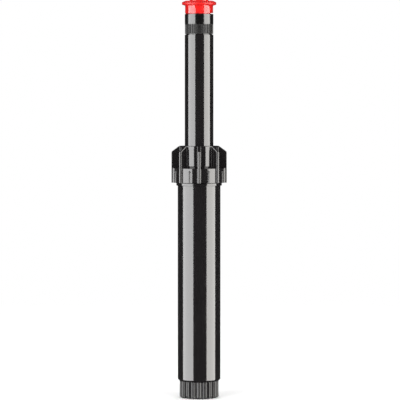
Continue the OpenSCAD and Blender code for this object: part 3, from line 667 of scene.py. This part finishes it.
def case_shell(s):
    """The case: a closed profile carried round the axis. Between the narrow ribs of the base
    collar the radius dips by a parabola, full depth in the middle of a flute, and the lower edge
    lifts with it. The inlet and the cap thread follow helical ridges, and the bore's rows dip
    for four key ribs."""
    half_rib = (0.1, 0.12, 0.16, 0.22, 0.29, 0.36, 0.43)
    fractions = (-0.5, *(-f for f in half_rib[::-1]), 0.0, *half_rib)
    angles = rib_angles(s["rib_count"], fractions)
    mouth_r = s["inlet_r"] + s["inlet_depth"]
    base, tube, bore = s["collar_r"], s["tube_r"], s["bore_r"]
    profile = rounded(
        [
            (mouth_r + 0.05, 0.0, 0.1), (base, 0.0, 0.9), (base, 11.3, 0.05),
            (base - 0.2, 11.35, 0.03), (tube, 12.75, 0.4), (tube, 148.4, 0.12),
            (15.9, 148.4, 0.3), (15.9, 150.3, 0.3), (14.75, 150.3, 0.12), (14.75, 158.0, 0.2),
            (bore, 158.0, 0.25), (bore, 14.0, 0.5), (7.6, 14.0, 0.25), (7.6, 12.0, 0.2),
            (s["inlet_r"], 12.0, 0.2), (s["inlet_r"], 1.4, 0.1),
        ],
        steps=5,
    )
    profile = refined(profile, (base - 0.1, 0.9), (base + 0.01, 11.28), 1.8)
    profile = refined(profile, (14.7, 150.4), (14.8, 157.9), 0.2)
    profile = refined(profile, (s["inlet_r"] - 0.05, 1.4), (s["inlet_r"] + 0.05, 12.0), 0.17)
    profile = refined(profile, (s["inlet_r"], 0.0), (mouth_r + 0.1, 1.5), 0.2)
    radius, height = turned(profile, angles)
    around = np.abs(off_centre(angles, s["rib_count"]))[None, :] * base
    half_pitch = base * TURN / 2 / s["rib_count"]
    share = np.clip((around - s["rib_w"] / 2) / (half_pitch - s["rib_w"] / 2), 0, 1)
    rib = (1 - share) ** 2
    low_side = (radius > mouth_r + 0.3) & (height < 11.36)
    depth = base - s["collar_root_r"]
    dip = depth * (1 - rib) * smooth(radius, base - 1.0, base)
    radius = np.where(low_side, radius - dip, radius)
    lift = s["scallop"] * (1 - rib) * smooth(radius, mouth_r + 0.9, s["collar_root_r"])
    height = height + np.where(low_side, lift * (1 - smooth(height, 0.9, 2.2)), 0)
    inlet = (radius < s["inlet_r"] + 0.02) & (height > 0.5) & (height < 11.9)
    wave = thread_wave(height, angles, 0.0, s["inlet_pitch"], 0.8, 0.14)
    runout = 1 - smooth(height, 10.2, 11.2)
    radius = np.where(inlet, radius + s["inlet_depth"] * wave * runout, radius)
    radius = threaded(radius, height, angles, **CASE_THREAD)
    key = np.abs(off_centre(angles, 4, TURN / 8)) * bore
    key = 1 - smooth(key, s["key_w"] / 2 - 0.12, s["key_w"] / 2 + 0.2)
    inner = (np.abs(radius - bore) < 0.01) & (height < 151.7)
    radius = np.where(inner, radius - s["key_h"] * key, radius)
    return placed(radius, height, angles)


def cap_outline(root, fin, s, corner, fillet):
    """The outline of one fin's half sector at each level, from the fin's middle plane to the
    middle between two fins: the fin's flat outer face, its corner arc, its flat side, the arc
    of its fillet, and the root circle with the marker rib's bump.

    The fillet's centre is fillet outside both the side and the root circle, so its distance
    along the fin is sqrt((root + fillet)^2 - (half thickness + fillet)^2).
    """
    half = (s["fin_t"] / 2) * np.ones_like(root)
    corner = np.minimum(corner, 0.95 * half)
    corner = np.minimum(corner, np.maximum(fin - root, 0.02) / 1.8)
    fillet = np.minimum(fillet, np.maximum(fin - root - corner, 0.02) * 0.92)
    along = np.sqrt((root + fillet) ** 2 - (half + fillet) ** 2)
    columns = []

    def span(share, x0, y0, x1, y1):
        x = x0[:, None] + (x1 - x0)[:, None] * share
        y = y0[:, None] + (y1 - y0)[:, None] * share
        columns.append(np.stack((x, y), -1))

    def arc(share, cx, cy, r, a0, a1):
        angle = a0[:, None] + (a1 - a0)[:, None] * share
        x = cx[:, None] + r[:, None] * np.cos(angle)
        y = cy[:, None] + r[:, None] * np.sin(angle)
        columns.append(np.stack((x, y), -1))

    zero = np.zeros_like(root)
    span(np.array([0, 0.8]), fin, zero, fin, half - corner)
    arc(np.linspace(0, 1, 5), fin - corner, half - corner, corner, zero, zero + TURN / 4)
    span(np.array([0.06, 0.5, 0.94]), fin - corner, half, along, half)
    turn = np.arctan2(half + fillet, along)
    arc(np.linspace(0, 1, 8), along, half + fillet, fillet, zero - TURN / 4, turn - TURN / 2)
    plain = 0.04, 0.2, 0.4, 0.58, 0.7, 0.79, 0.84
    marked = 0.856, 0.87, 0.895, 0.92, 0.947, 0.973
    share = np.array([*plain, *marked, 1.0])
    arc(share, zero, zero, root, turn, zero + TURN / 16)
    return np.concatenate(columns, 1)


def spun(points, angle):
    """Points of the plane turned about the axis."""
    return points @ np.array([[np.cos(angle), np.sin(angle)], [-np.sin(angle), np.cos(angle)]])


def with_marker(outline, root, levels, top, s):
    """The outline pushed out over the marker rib: by the height of a circle's arc across the
    rib up to its top, and of a ball of the marker's radius round that top, the higher of the
    two."""
    angle = np.arctan2(outline[..., 1], outline[..., 0])
    reach = np.hypot(outline[..., 0], outline[..., 1])
    across = (TURN / 16 - angle) * reach
    above = (levels - top)[:, None]
    ball = np.sqrt(np.maximum(s["marker_r"] ** 2 - across**2 - above**2, 0))
    rib = np.sqrt(np.maximum(s["marker_rib_r"] ** 2 - across**2, 0)) * (above <= 0)
    bump = np.maximum(ball, rib)
    bump = bump * (1 - smooth(levels, 160.0, 160.4))[:, None]
    reach = reach + np.where(np.abs(reach - root[:, None]) < 0.02, bump, 0)
    return np.stack((reach * np.cos(angle), reach * np.sin(angle)), -1)


def cap_shell(s):
    """The cap: outlines with eight fins stacked up the outside, then round rows over the
    mouth, down the seal's pocket and the helical thread, and back to the first outline."""
    base, top = 150.4, 176.2
    root_line = rounded(
        [
            (12.5, base, 0.05), (s["skirt_r"], base, 0.25), (s["skirt_r"], 160.5, 0.25),
            (s["neck_r"], 162.0, 0.3), (s["neck_r"], 171.2, 3.0), (s["neck_r"] + 0.1, 172.9, 3.0),
            (s["neck_r"] + 0.3, 174.5, 2.0), (s["flare_r"], 175.85, 0.3),
            (s["flare_r"] - 0.35, top, 0.3), (12.5, top, 0.05),
        ],
        steps=5,
    )[7:-7]
    outer = root_line[(root_line[:, 0] > 13.05)]
    order = np.argsort(outer[:, 1], kind="stable")
    root_r, root_z = outer[order, 0], outer[order, 1]
    fin_line = rounded(
        [
            (12.0, base, 0.05), (s["fin_r"], base, 0.3), (s["fin_r"], 172.15, 1.7),
            (s["flare_r"], top, 0.4), (12.0, top + 0.3, 0.05),
        ],
        steps=6,
    )
    fin_line = fin_line[fin_line[:, 0] > s["flare_r"] - 0.2]
    fin_order = np.argsort(fin_line[:, 1], kind="stable")
    fin_r, fin_z = fin_line[fin_order, 0], fin_line[fin_order, 1]
    marker_top = 158.0
    extra = np.concatenate(
        (
            np.linspace(base + 0.6, 160.0, 6),
            marker_top + np.array([-0.79, -0.7, -0.56, -0.4, -0.2, 0.0, 0.2, 0.4, 0.56, 0.7, 0.79]),
            np.linspace(163.2, 172.0, 5),
            np.linspace(172.9, top - 0.1, 10),
        )
    )
    levels = np.unique(np.round(np.concatenate((root_z, fin_z, extra)), 3))
    levels = levels[np.concatenate(([True], np.diff(levels) > 0.02))]
    levels = levels[(levels >= base) & (levels <= top)]
    root = np.interp(levels, root_z, root_r)
    fin = np.maximum(np.interp(levels, fin_z, fin_r), root + 0.02)
    skirt = 1 - smooth(levels, 160.4, 161.8)
    plain = cap_outline(root, fin, s, s["fin_edge"], s["fin_fillet"] * np.ones_like(root))
    seam = cap_outline(root, fin, s, s["seam_edge"], s["seam_fillet"] * (0.2 + 0.8 * skirt))
    halves = [with_marker(half, root, levels, marker_top, s) for half in (plain, seam)]
    count = s["fin_count"]
    fins = [halves[1 if k % (count // 2) == 0 else 0] for k in range(count)]
    ahead = fins[1:] + fins[:1]
    turn = TURN / count
    sectors = []
    for k in range(count):
        mirrored = spun(ahead[k][:, -2:0:-1] * (1, -1), turn)
        sectors.append(spun(np.concatenate((fins[k], mirrored), 1), k * turn))
    ring = np.concatenate(sectors, 1)
    heights = np.broadcast_to(levels[:, None, None], ring.shape[:2] + (1,))
    outside = np.concatenate((ring, heights), 2)
    low_row = ring[len(levels) // 4]
    angles = np.unwrap(np.arctan2(low_row[:, 1], low_row[:, 0]))
    inner = rounded(
        [
            (s["flare_r"] - 0.6, top, 0.05), (10.3, top, 0.8), (10.3, 172.5, 0.15),
            (12.15, 172.5, 0.15), (12.15, 159.6, 0.15), (15.75, 159.6, 0.2), (15.75, base, 0.3),
            (17.2, base, 0.02),
        ],
        steps=4,
    )[6:-7]
    inner = refined(inner, (15.7, base + 0.2), (15.8, 159.4), 0.22)
    radius, height = turned(inner, angles)
    radius = threaded(radius, height, angles, pitch=s["thread_pitch"], **CAP_THREAD)
    return np.concatenate((outside, placed(radius, height, angles)), 0)


def stem_shell(s):
    """The riser tube: a closed profile carried round the axis, with a helical neck thread."""
    r = s["riser_r"]
    profile = rounded(
        [
            (8.1, 114.6, 0.15), (9.55, 114.6, 0.15), (9.55, 120.0, 0.05), (r, 120.0, 0.1),
            (r, 253.8, 0.88), (9.09, 253.8, 0.03), (9.09, 254.28, 0.05), (8.2, 254.28, 0.05),
            (8.2, 262.1, 0.15), (7.05, 262.1, 0.15), (7.05, 248.8, 0.3), (8.1, 246.8, 0.3),
        ],
        steps=5,
    )
    profile = refined(profile, (8.15, 254.4), (8.25, 262.0), 0.2)
    angles = plain_angles(160)
    radius, height = turned(profile, angles)
    radius = threaded(radius, height, angles, **NECK_THREAD)
    return placed(radius, height, angles)


def swept_block(section, angles):
    """A closed section (radius, height) carried along an arc, with its two ends closed."""
    section = np.asarray(section, float)
    radius = np.broadcast_to(section[None, :, 0], (len(angles), len(section)))
    height = np.broadcast_to(section[None, :, 1], (len(angles), len(section)))
    return placed(radius, height, angles[:, None])


def straight_block(r0, r1, half_w, z0, z1, angle):
    """A straight bar along a direction: a rectangle of width and height, carried from r0 to r1."""
    across = np.array([-half_w, half_w, half_w, -half_w])
    height = np.array([z0, z0, z1, z1])
    out = np.array([r0, r1])[:, None]
    x = out * np.cos(angle) - across * np.sin(angle)
    y = out * np.sin(angle) + across * np.cos(angle)
    return np.stack((x, y, np.broadcast_to(height, x.shape)), -1)


def nozzle_shells(s):
    """The nozzle base: the ribbed and smooth bands with the chamber inside them, the hub and
    spokes of the orifice plate, two guide legs, and the fixed half of the shutter."""
    fractions = (-0.5, -0.41, -0.32, -0.235, -0.215, 0.0, 0.215, 0.235, 0.32, 0.41)
    angles = rib_angles(s["grip_count"], fractions)
    profile = rounded(
        [
            (8.7, 254.3, 0.1), (s["grip_r"], 254.3, 0.15), (s["grip_r"], 261.15, 0.03),
            (s["smooth_r"], 261.25, 0.05), (s["smooth_r"], 268.1, 0.3), (6.97, 268.1, 0.2),
            (6.97, 265.1, 0.15), (5.55, 265.1, 0.1), (5.55, 263.1, 0.1), (8.7, 263.1, 0.1),
        ],
        steps=4,
    )
    profile = refined(profile, (s["grip_r"] - 0.02, 254.6), (s["grip_r"] + 0.02, 260.3), 1.6)
    profile = refined(profile, (s["grip_r"] - 0.02, 260.3), (s["grip_r"] + 0.02, 261.2), 0.09)
    profile = refined(profile, (8.65, 254.4), (8.75, 263.0), 0.2)
    radius, height = turned(profile, angles)
    groove = 0.5 - np.abs(off_centre(angles, s["grip_count"])) * s["grip_count"] / TURN
    arch = np.sqrt(1 - np.clip((height - 260.35) / 0.6, 0, 1) ** 2)
    cut = np.clip(1 - groove[None, :] / (0.275 * np.maximum(arch, 0.02)), 0, 1)
    band = (radius > s["grip_r"] - 0.2) & (height < 261.1)
    cut = cut * smooth(height, 254.2, 254.6)
    radius = np.where(band, radius - s["grip_depth"] * cut * (arch > 0), radius)
    radius = threaded(radius, height, angles, **NOZZLE_THREAD)
    band_shell = placed(radius, height, angles)
    hub = rounded([(2.11, 263.1, 0.1), (2.8, 263.1, 0.1), (2.8, 265.1, 0.1), (2.11, 265.1, 0.1)], 3)
    hub_shell = placed(*turned(hub, plain_angles(64)), plain_angles(64))
    shells = [(band_shell, True), (hub_shell, True)]
    spokes = [TURN / 6 + k * TURN / 3 for k in range(3)]
    shells += [(straight_block(2.7, 5.65, 0.7, 263.2, 265.0, a), False) for a in spokes]
    legs = [(5.05, 254.1), (5.75, 254.1), (5.75, 263.6), (5.05, 263.6)]
    width = np.linspace(-0.8, 0.8, 5) / 5.4
    shells += [(swept_block(legs, width + a), False) for a in (0.0, TURN / 2)]
    lip = [(8.05, 268.0), (8.6, 268.0), (8.6, 269.1), (8.55, 269.15), (8.1, 269.15), (8.05, 269.1)]
    shells.append((swept_block(lip, np.linspace(TURN / 4, 3 * TURN / 4, 65)), False))
    return shells


def collar_shells(s):
    """The turning collar: a closed profile with fine teeth round its flange and a lower edge
    that rises over the open side, and the moving half of the shutter under it."""
    angles = rib_angles(s["teeth"], (-0.5, -0.38, -0.28, -0.13, 0.0, 0.13, 0.28, 0.38))
    r = s["flange_r"]
    profile = rounded(
        [
            (5.56, 269.2, 0.1), (s["skirt_r"] - 0.45, 269.2, 0.03),
            (s["skirt_r"] - 0.4, s["skirt_low"], 0.03),
            (s["skirt_r"] - 0.12, s["skirt_low"], 0.05),
            (s["skirt_r"], s["skirt_low"] + 0.15, 0.1), (s["skirt_r"], 273.8, 0.1),
            (s["skirt_r"] + 0.3, 274.1, 0.15), (r - 0.4, 274.5, 0.15), (r, 274.75, 0.3),
            (r, 276.2, 0.15), (r - 0.4, 276.5, 0.15), (r - 2.2, 277.3, 0.3), (6.8, 277.3, 0.15),
            (6.8, 276.25, 0.1), (5.56, 276.25, 0.1),
        ],
        steps=4,
    )
    profile = refined(profile, (r - 0.02, 274.8), (r + 0.02, 276.2), 0.2)
    profile = refined(profile, (r - 2.3, 276.4), (r - 0.3, 277.35), 0.3)
    radius, height = turned(profile, angles)
    tooth = np.abs(off_centre(angles, s["teeth"])) * s["teeth"] / TURN * 2
    notch = smooth(tooth, 0.55, 0.77)[None, :]
    rim = smooth(radius, r - 1.1, r - 0.15) * smooth(height, 275.55, 275.9)
    radius = radius - s["notch"] * notch * rim * (radius > 10.2)
    slot = notch * smooth(radius, r - 2.2, r - 1.5)
    height = height - s["notch"] * slot * (height > 276.3)
    turn = np.degrees(np.angle(np.exp(1j * angles)))
    rise = s["ramp"] * smooth(turn, -62.0, -22.0) * (1 - smooth(turn, 86.0, 92.0))
    edge = (radius > 8.6) & (height < 270.2)
    height = np.where(edge, height + rise * (1 - smooth(height, 269.3, 271.0)), height)
    lip = [(8.7, 268.15), (9.25, 268.15), (9.25, 269.4), (8.7, 269.4)]
    arc = np.radians(np.linspace(149.0, 329.0, 65))
    return [(placed(radius, height, angles), True), (swept_block(lip, arc), False)]


def deflector_shell():
    """The deflector: a closed profile carried round the axis, from the tip in the hub through
    the spreading cone and the barrel to the top disc with the screw's recess."""
    profile = rounded(
        [
            (1.3, 263.1, 0.05), (2.09, 263.1, 0.1), (2.09, 265.15, 0.05), (2.8, 265.15, 0.1),
            (2.8, 267.5, 0.6), (5.5, 269.1, 0.15), (5.5, 276.3, 0.05), (6.5, 276.3, 0.1),
            (6.5, 278.5, 0.6), (2.6, 278.5, 0.2), (2.6, 277.0, 0.1), (1.3, 277.0, 0.1),
            (1.3, 273.2, 0.03), (2.15, 273.2, 0.1), (2.15, 272.4, 0.1), (1.3, 272.4, 0.03),
        ],
        steps=4,
    )
    angles = plain_angles(96)
    return placed(*turned(profile, angles), angles)


def spring_shell(s):
    """The return spring: a circle of wire carried along a helix. The height of the wire's
    middle is piecewise linear in the turn, with a closed coil at each end."""
    wire, coils = s["wire_r"], s["coils"]
    low, high = SPRING_LOW + 0.02 + wire, SPRING_HIGH - 0.02 - wire
    closed = 2 * wire * 1.03
    turns = np.linspace(0, coils - 1, (coils - 1) * 40 + 1)
    share = turns * coils / (coils - 1)
    middle = np.interp(share, [0, 1, coils - 1, coils], [low, low + closed, high - closed, high])
    around = plain_angles(10)
    radius = s["coil_r"] + wire * np.cos(around)[None, :] * np.ones((len(turns), 1))
    height = middle[:, None] + wire * np.sin(around)[None, :]
    return placed(radius, height, (turns * TURN)[:, None])


# ---------- operators


class BuildStep:
    """What the sprinkler's operators share."""

    bl_options = {"REGISTER", "UNDO"}

    @property
    def settings(self):
        return bpy.context.scene.sprinkler


def dress(node, key):
    """Gives a CAD node's object one finish in all of its material slots."""
    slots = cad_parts[node].material_slots
    if not slots:
        raise RuntimeError(f"{node} has no material slot")
    for slot in slots:
        slot.material = material(key)


def finish_band(piece, second, low, high, least_r, notches=0):
    """Gives the faces whose middle lies between two heights, and further out than a radius,
    one more finish. With a count of notches, only the faces in the notches get it."""
    mesh = piece.data
    mesh.materials.append(second)
    middle = np.empty(len(mesh.polygons) * 3, np.float32)
    mesh.polygons.foreach_get("center", middle)
    middle = middle.reshape(-1, 3) / MM
    reach = np.hypot(middle[:, 0], middle[:, 1])
    band = (middle[:, 2] > low) & (middle[:, 2] < high) & (reach > least_r)
    if notches:
        around = off_centre(np.arctan2(middle[:, 1], middle[:, 0]), notches)
        band &= np.abs(around) * notches / TURN * 2 > 0.62
    index = np.empty(len(mesh.polygons), np.int32)
    mesh.polygons.foreach_get("material_index", index)
    index[band] = len(mesh.materials) - 1
    mesh.polygons.foreach_set("material_index", index)


class SPRINKLER_OT_case(BuildStep, bpy.types.Operator):
    """Build the case with its ribbed base, inlet thread and key ribs"""

    bl_idname = "sprinkler.case"
    bl_label = "Case"

    def execute(self, context):
        shell = case_shell(sizes(self.settings.case))
        shells = [(shell, True)]
        case = make_piece(
            "case_moulding", shells, "case", "case_body", "gloss_black"
        )
        finish_band(case, material("satin_black"), *BASE_BAND)
        return {"FINISHED"}


class SPRINKLER_OT_cap(BuildStep, bpy.types.Operator):
    """Build the finned screw cap"""

    bl_idname = "sprinkler.cap"
    bl_label = "Cap"

    def execute(self, context):
        shell = cap_shell(sizes(self.settings.cap))
        make_piece("cap_moulding", [(shell, True)], "case", "cap", "cap_black")
        return {"FINISHED"}


class SPRINKLER_OT_riser(BuildStep, bpy.types.Operator):
    """Build the riser tube"""

    bl_idname = "sprinkler.riser"
    bl_label = "Riser tube"

    def execute(self, context):
        shell = stem_shell(sizes(self.settings.riser))
        shells = [(shell, True)]
        make_piece("riser_tube", shells, "riser", "riser_stem", "riser_black")
        return {"FINISHED"}


class SPRINKLER_OT_nozzle(BuildStep, bpy.types.Operator):
    """Build the nozzle base, the arc collar and the deflector"""

    bl_idname = "sprinkler.nozzle"
    bl_label = "Nozzle"

    def execute(self, context):
        s = sizes(self.settings.riser)
        shells = nozzle_shells(s)
        nozzle = make_piece(
            "nozzle_moulding", shells, "riser", "nozzle_base", "nozzle_black"
        )
        finish_band(nozzle, material("satin_grip"), *GRIP_BAND)
        shells = collar_shells(s)
        collar = make_piece(
            "arc_collar_moulding", shells, "collar", "arc_collar", "red"
        )
        finish_band(collar, material("red_flange"), *FLANGE_BAND)
        # Painted shade: the faces in the flange's notches get a red dimmed to 0.3 for the shade in
        # the notches.
        finish_band(collar, material("red_notch"), *NOTCH_BAND, s["teeth"])
        shells = [(deflector_shell(), True)]
        make_piece("deflector_moulding", shells, "riser", "deflector", "red")
        return {"FINISHED"}


class SPRINKLER_OT_spring(BuildStep, bpy.types.Operator):
    """Build the return spring between the ratchet ring and the seal retainer"""

    bl_idname = "sprinkler.spring"
    bl_label = "Return spring"

    def execute(self, context):
        shells = [(spring_shell(sizes(self.settings.riser)), False)]
        spring = make_piece(
            "return_spring", shells, None, "retraction_spring", "wire"
        )
        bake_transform(spring)
        return {"FINISHED"}


class SPRINKLER_OT_inner(BuildStep, bpy.types.Operator):
    """Finish the seals, the ratchet, the foot, the screw, the throttle and the filter"""

    bl_idname = "sprinkler.inner"
    bl_label = "Inner pieces"

    def execute(self, context):
        finishes = {
            "wiper_seal": "rubber",
            "seal_retainer": "milky",
            "ratchet_ring": "milky",
            "riser_foot": "riser_black",
            "foot_seal": "rubber",
            "radius_screw": "screw",
            "screw_oring": "rubber",
            "throttle_plug": "milky",
            "filter_cage": "milky",
            "filter_mesh": "mesh",
        }
        for node, key in finishes.items():
            dress(node, key)
        return {"FINISHED"}


def area_light(name, place, aim, size, radiance, colour, mirrored):
    """A soft box that faces a point. Its power is radiance times pi times its area. A mirrored
    one shows only in gloss, and any other lights only what is matt."""
    data = bpy.data.lights.new(name, "AREA")
    data.shape = "RECTANGLE"
    data.size, data.size_y = size
    data.energy = radiance * np.pi * size[0] * size[1]
    data.color = colour
    light = bpy.data.objects.new(name, data)
    bpy.context.scene.collection.objects.link(light)
    light.location = place
    direction = np.asarray(aim, float) - np.asarray(place, float)
    flat = np.hypot(direction[0], direction[1])
    light.rotation_euler = (
        np.pi / 2 + np.arctan2(direction[2], flat),
        0.0,
        np.arctan2(direction[1], direction[0]) - np.pi / 2,
    )
    light.visible_camera = False
    light.visible_diffuse = not mirrored
    light.visible_glossy = mirrored


MIDDLE = (0, 0, 0.14)
WHITE = (1, 1, 1)
# name, place, point it faces, width and height, radiance, colour, and whether it is mirrored
LIGHTS = (
    ("left_box", (-0.55, -0.416, 0.14), (-0.001, -0.416, 0.14), (0.942, 1.7), 10.4, WHITE, True),
    (
        "right_box",
        (0.55, -0.291, 0.14),
        (0.001, -0.291, 0.14),
        (0.692, 1.7),
        11.2,
        (1, 0.985, 0.95),
        True,
    ),
    ("left_fill", (-0.9, -1.3, 0.9), MIDDLE, (0.9, 0.9), 5.2, WHITE, False),
    ("right_fill", (0.9, -1.3, 0.7), MIDDLE, (0.9, 0.9), 4.6, (1, 0.99, 0.97), False),
    ("back_fill", (0.0, 1.5, 1.1), MIDDLE, (1.2, 0.9), 3.0, WHITE, False),
    ("top_fill", (0.0, -0.1, 1.7), MIDDLE, (1.4, 1.4), 2.4, WHITE, False),
)
FLOOR_Z = -0.0004


class SPRINKLER_OT_stage(BuildStep, bpy.types.Operator):
    """Set up the pale floor, the soft boxes, the sky and the camera"""

    bl_idname = "sprinkler.stage"
    bl_label = "Stage"

    def execute(self, context):
        s = self.settings.stage
        radii = np.concatenate(([0.02], np.linspace(0.1, 1.0, 19)))
        angles = plain_angles(72)
        disc = np.stack(
            (
                radii[:, None] * np.cos(angles) * s.floor_r,
                radii[:, None] * np.sin(angles) * s.floor_r,
                np.full((len(radii), len(angles)), FLOOR_Z),
            ),
            -1,
        )
        corners = np.concatenate((disc.reshape(-1, 3), [(0, 0, FLOOR_Z)]))
        hub = len(corners) - 1
        ring = np.arange(len(angles))
        fan = np.stack((ring, np.roll(ring, -1), np.full(len(angles), hub)), -1)[:, ::-1]
        faces = grid_faces(len(radii), len(angles), False)[:, ::-1].tolist() + fan.tolist()
        mesh = bpy.data.meshes.new("floor")
        mesh.from_pydata(corners.tolist(), [], faces)
        fade = s.floor_r * 0.35, s.floor_r * 0.95
        mesh.materials.append(concrete("pale_floor", tuple(s.floor), *fade))
        floor = bpy.data.objects.new("floor", mesh)
        bpy.context.scene.collection.objects.link(floor)
        floor.visible_glossy = False
        floor.visible_shadow = False
        for light in LIGHTS:
            area_light(*light)
        world = bpy.data.worlds.new("studio")
        bpy.context.scene.world = world
        g = Graph(world)
        path = g.add("ShaderNodeLightPath").socket.node
        seen = Value(g.tree, path.outputs["Is Camera Ray"])
        mirrored = Value(g.tree, path.outputs["Is Glossy Ray"])
        strength = seen + (1 - seen) * (0.42 - 0.36 * mirrored)
        background = g.tree.nodes["Background"]
        background.inputs["Color"].default_value = (1, 1, 1, 1)
        g.tree.links.new(strength.socket, background.inputs["Strength"])
        data = bpy.data.cameras.new("camera")
        data.lens = s.lens
        data.sensor_width = 36.0
        data.clip_end = 20.0
        data.dof.use_dof = False
        camera = bpy.data.objects.new("camera", data)
        bpy.context.scene.collection.objects.link(camera)
        camera.location = (s.aim_side, -s.camera_far, s.camera_up)
        fall = np.arctan2(s.camera_up - s.aim_up, s.camera_far)
        camera.rotation_euler = (np.pi / 2 - fall, 0.0, 0.0)
        scene = bpy.context.scene
        scene.camera = camera
        scene.view_settings.view_transform = "Standard"
        return {"FINISHED"}


class SPRINKLER_PT_panel(bpy.types.Panel):
    """Lists the steps that build the sprinkler"""

    bl_idname = "SPRINKLER_PT_panel"
    bl_label = "Pop-up Spray Sprinkler"
    bl_space_type = "VIEW_3D"
    bl_region_type = "UI"
    bl_category = "Sprinkler"

    def draw(self, context):
        for step in STEPS:
            self.layout.operator(step.bl_idname)
        for group in ("case", "cap", "riser", "finish", "stage"):
            box = self.layout.box()
            settings = getattr(context.scene.sprinkler, group)
            for key in settings.__annotations__:
                box.prop(settings, key)


STEPS = (
    SPRINKLER_OT_case,
    SPRINKLER_OT_cap,
    SPRINKLER_OT_riser,
    SPRINKLER_OT_nozzle,
    SPRINKLER_OT_spring,
    SPRINKLER_OT_inner,
    SPRINKLER_OT_stage,
)
CLASSES = (
    SprinklerCaseSettings,
    SprinklerCapSettings,
    SprinklerRiserSettings,
    SprinklerFinishSettings,
    SprinklerStageSettings,
    SprinklerSettings,
    *STEPS,
    SPRINKLER_PT_panel,
)


def register():
    for item in CLASSES:
        bpy.utils.register_class(item)
    bpy.types.Scene.sprinkler = PointerProperty(type=SprinklerSettings)


def unregister():
    del bpy.types.Scene.sprinkler
    for item in reversed(CLASSES):
        bpy.utils.unregister_class(item)


def main():
    register()
    for step in STEPS:
        group, _, call = step.bl_idname.partition(".")
        getattr(getattr(bpy.ops, group), call)()


if __name__ == "__main__":
    main()
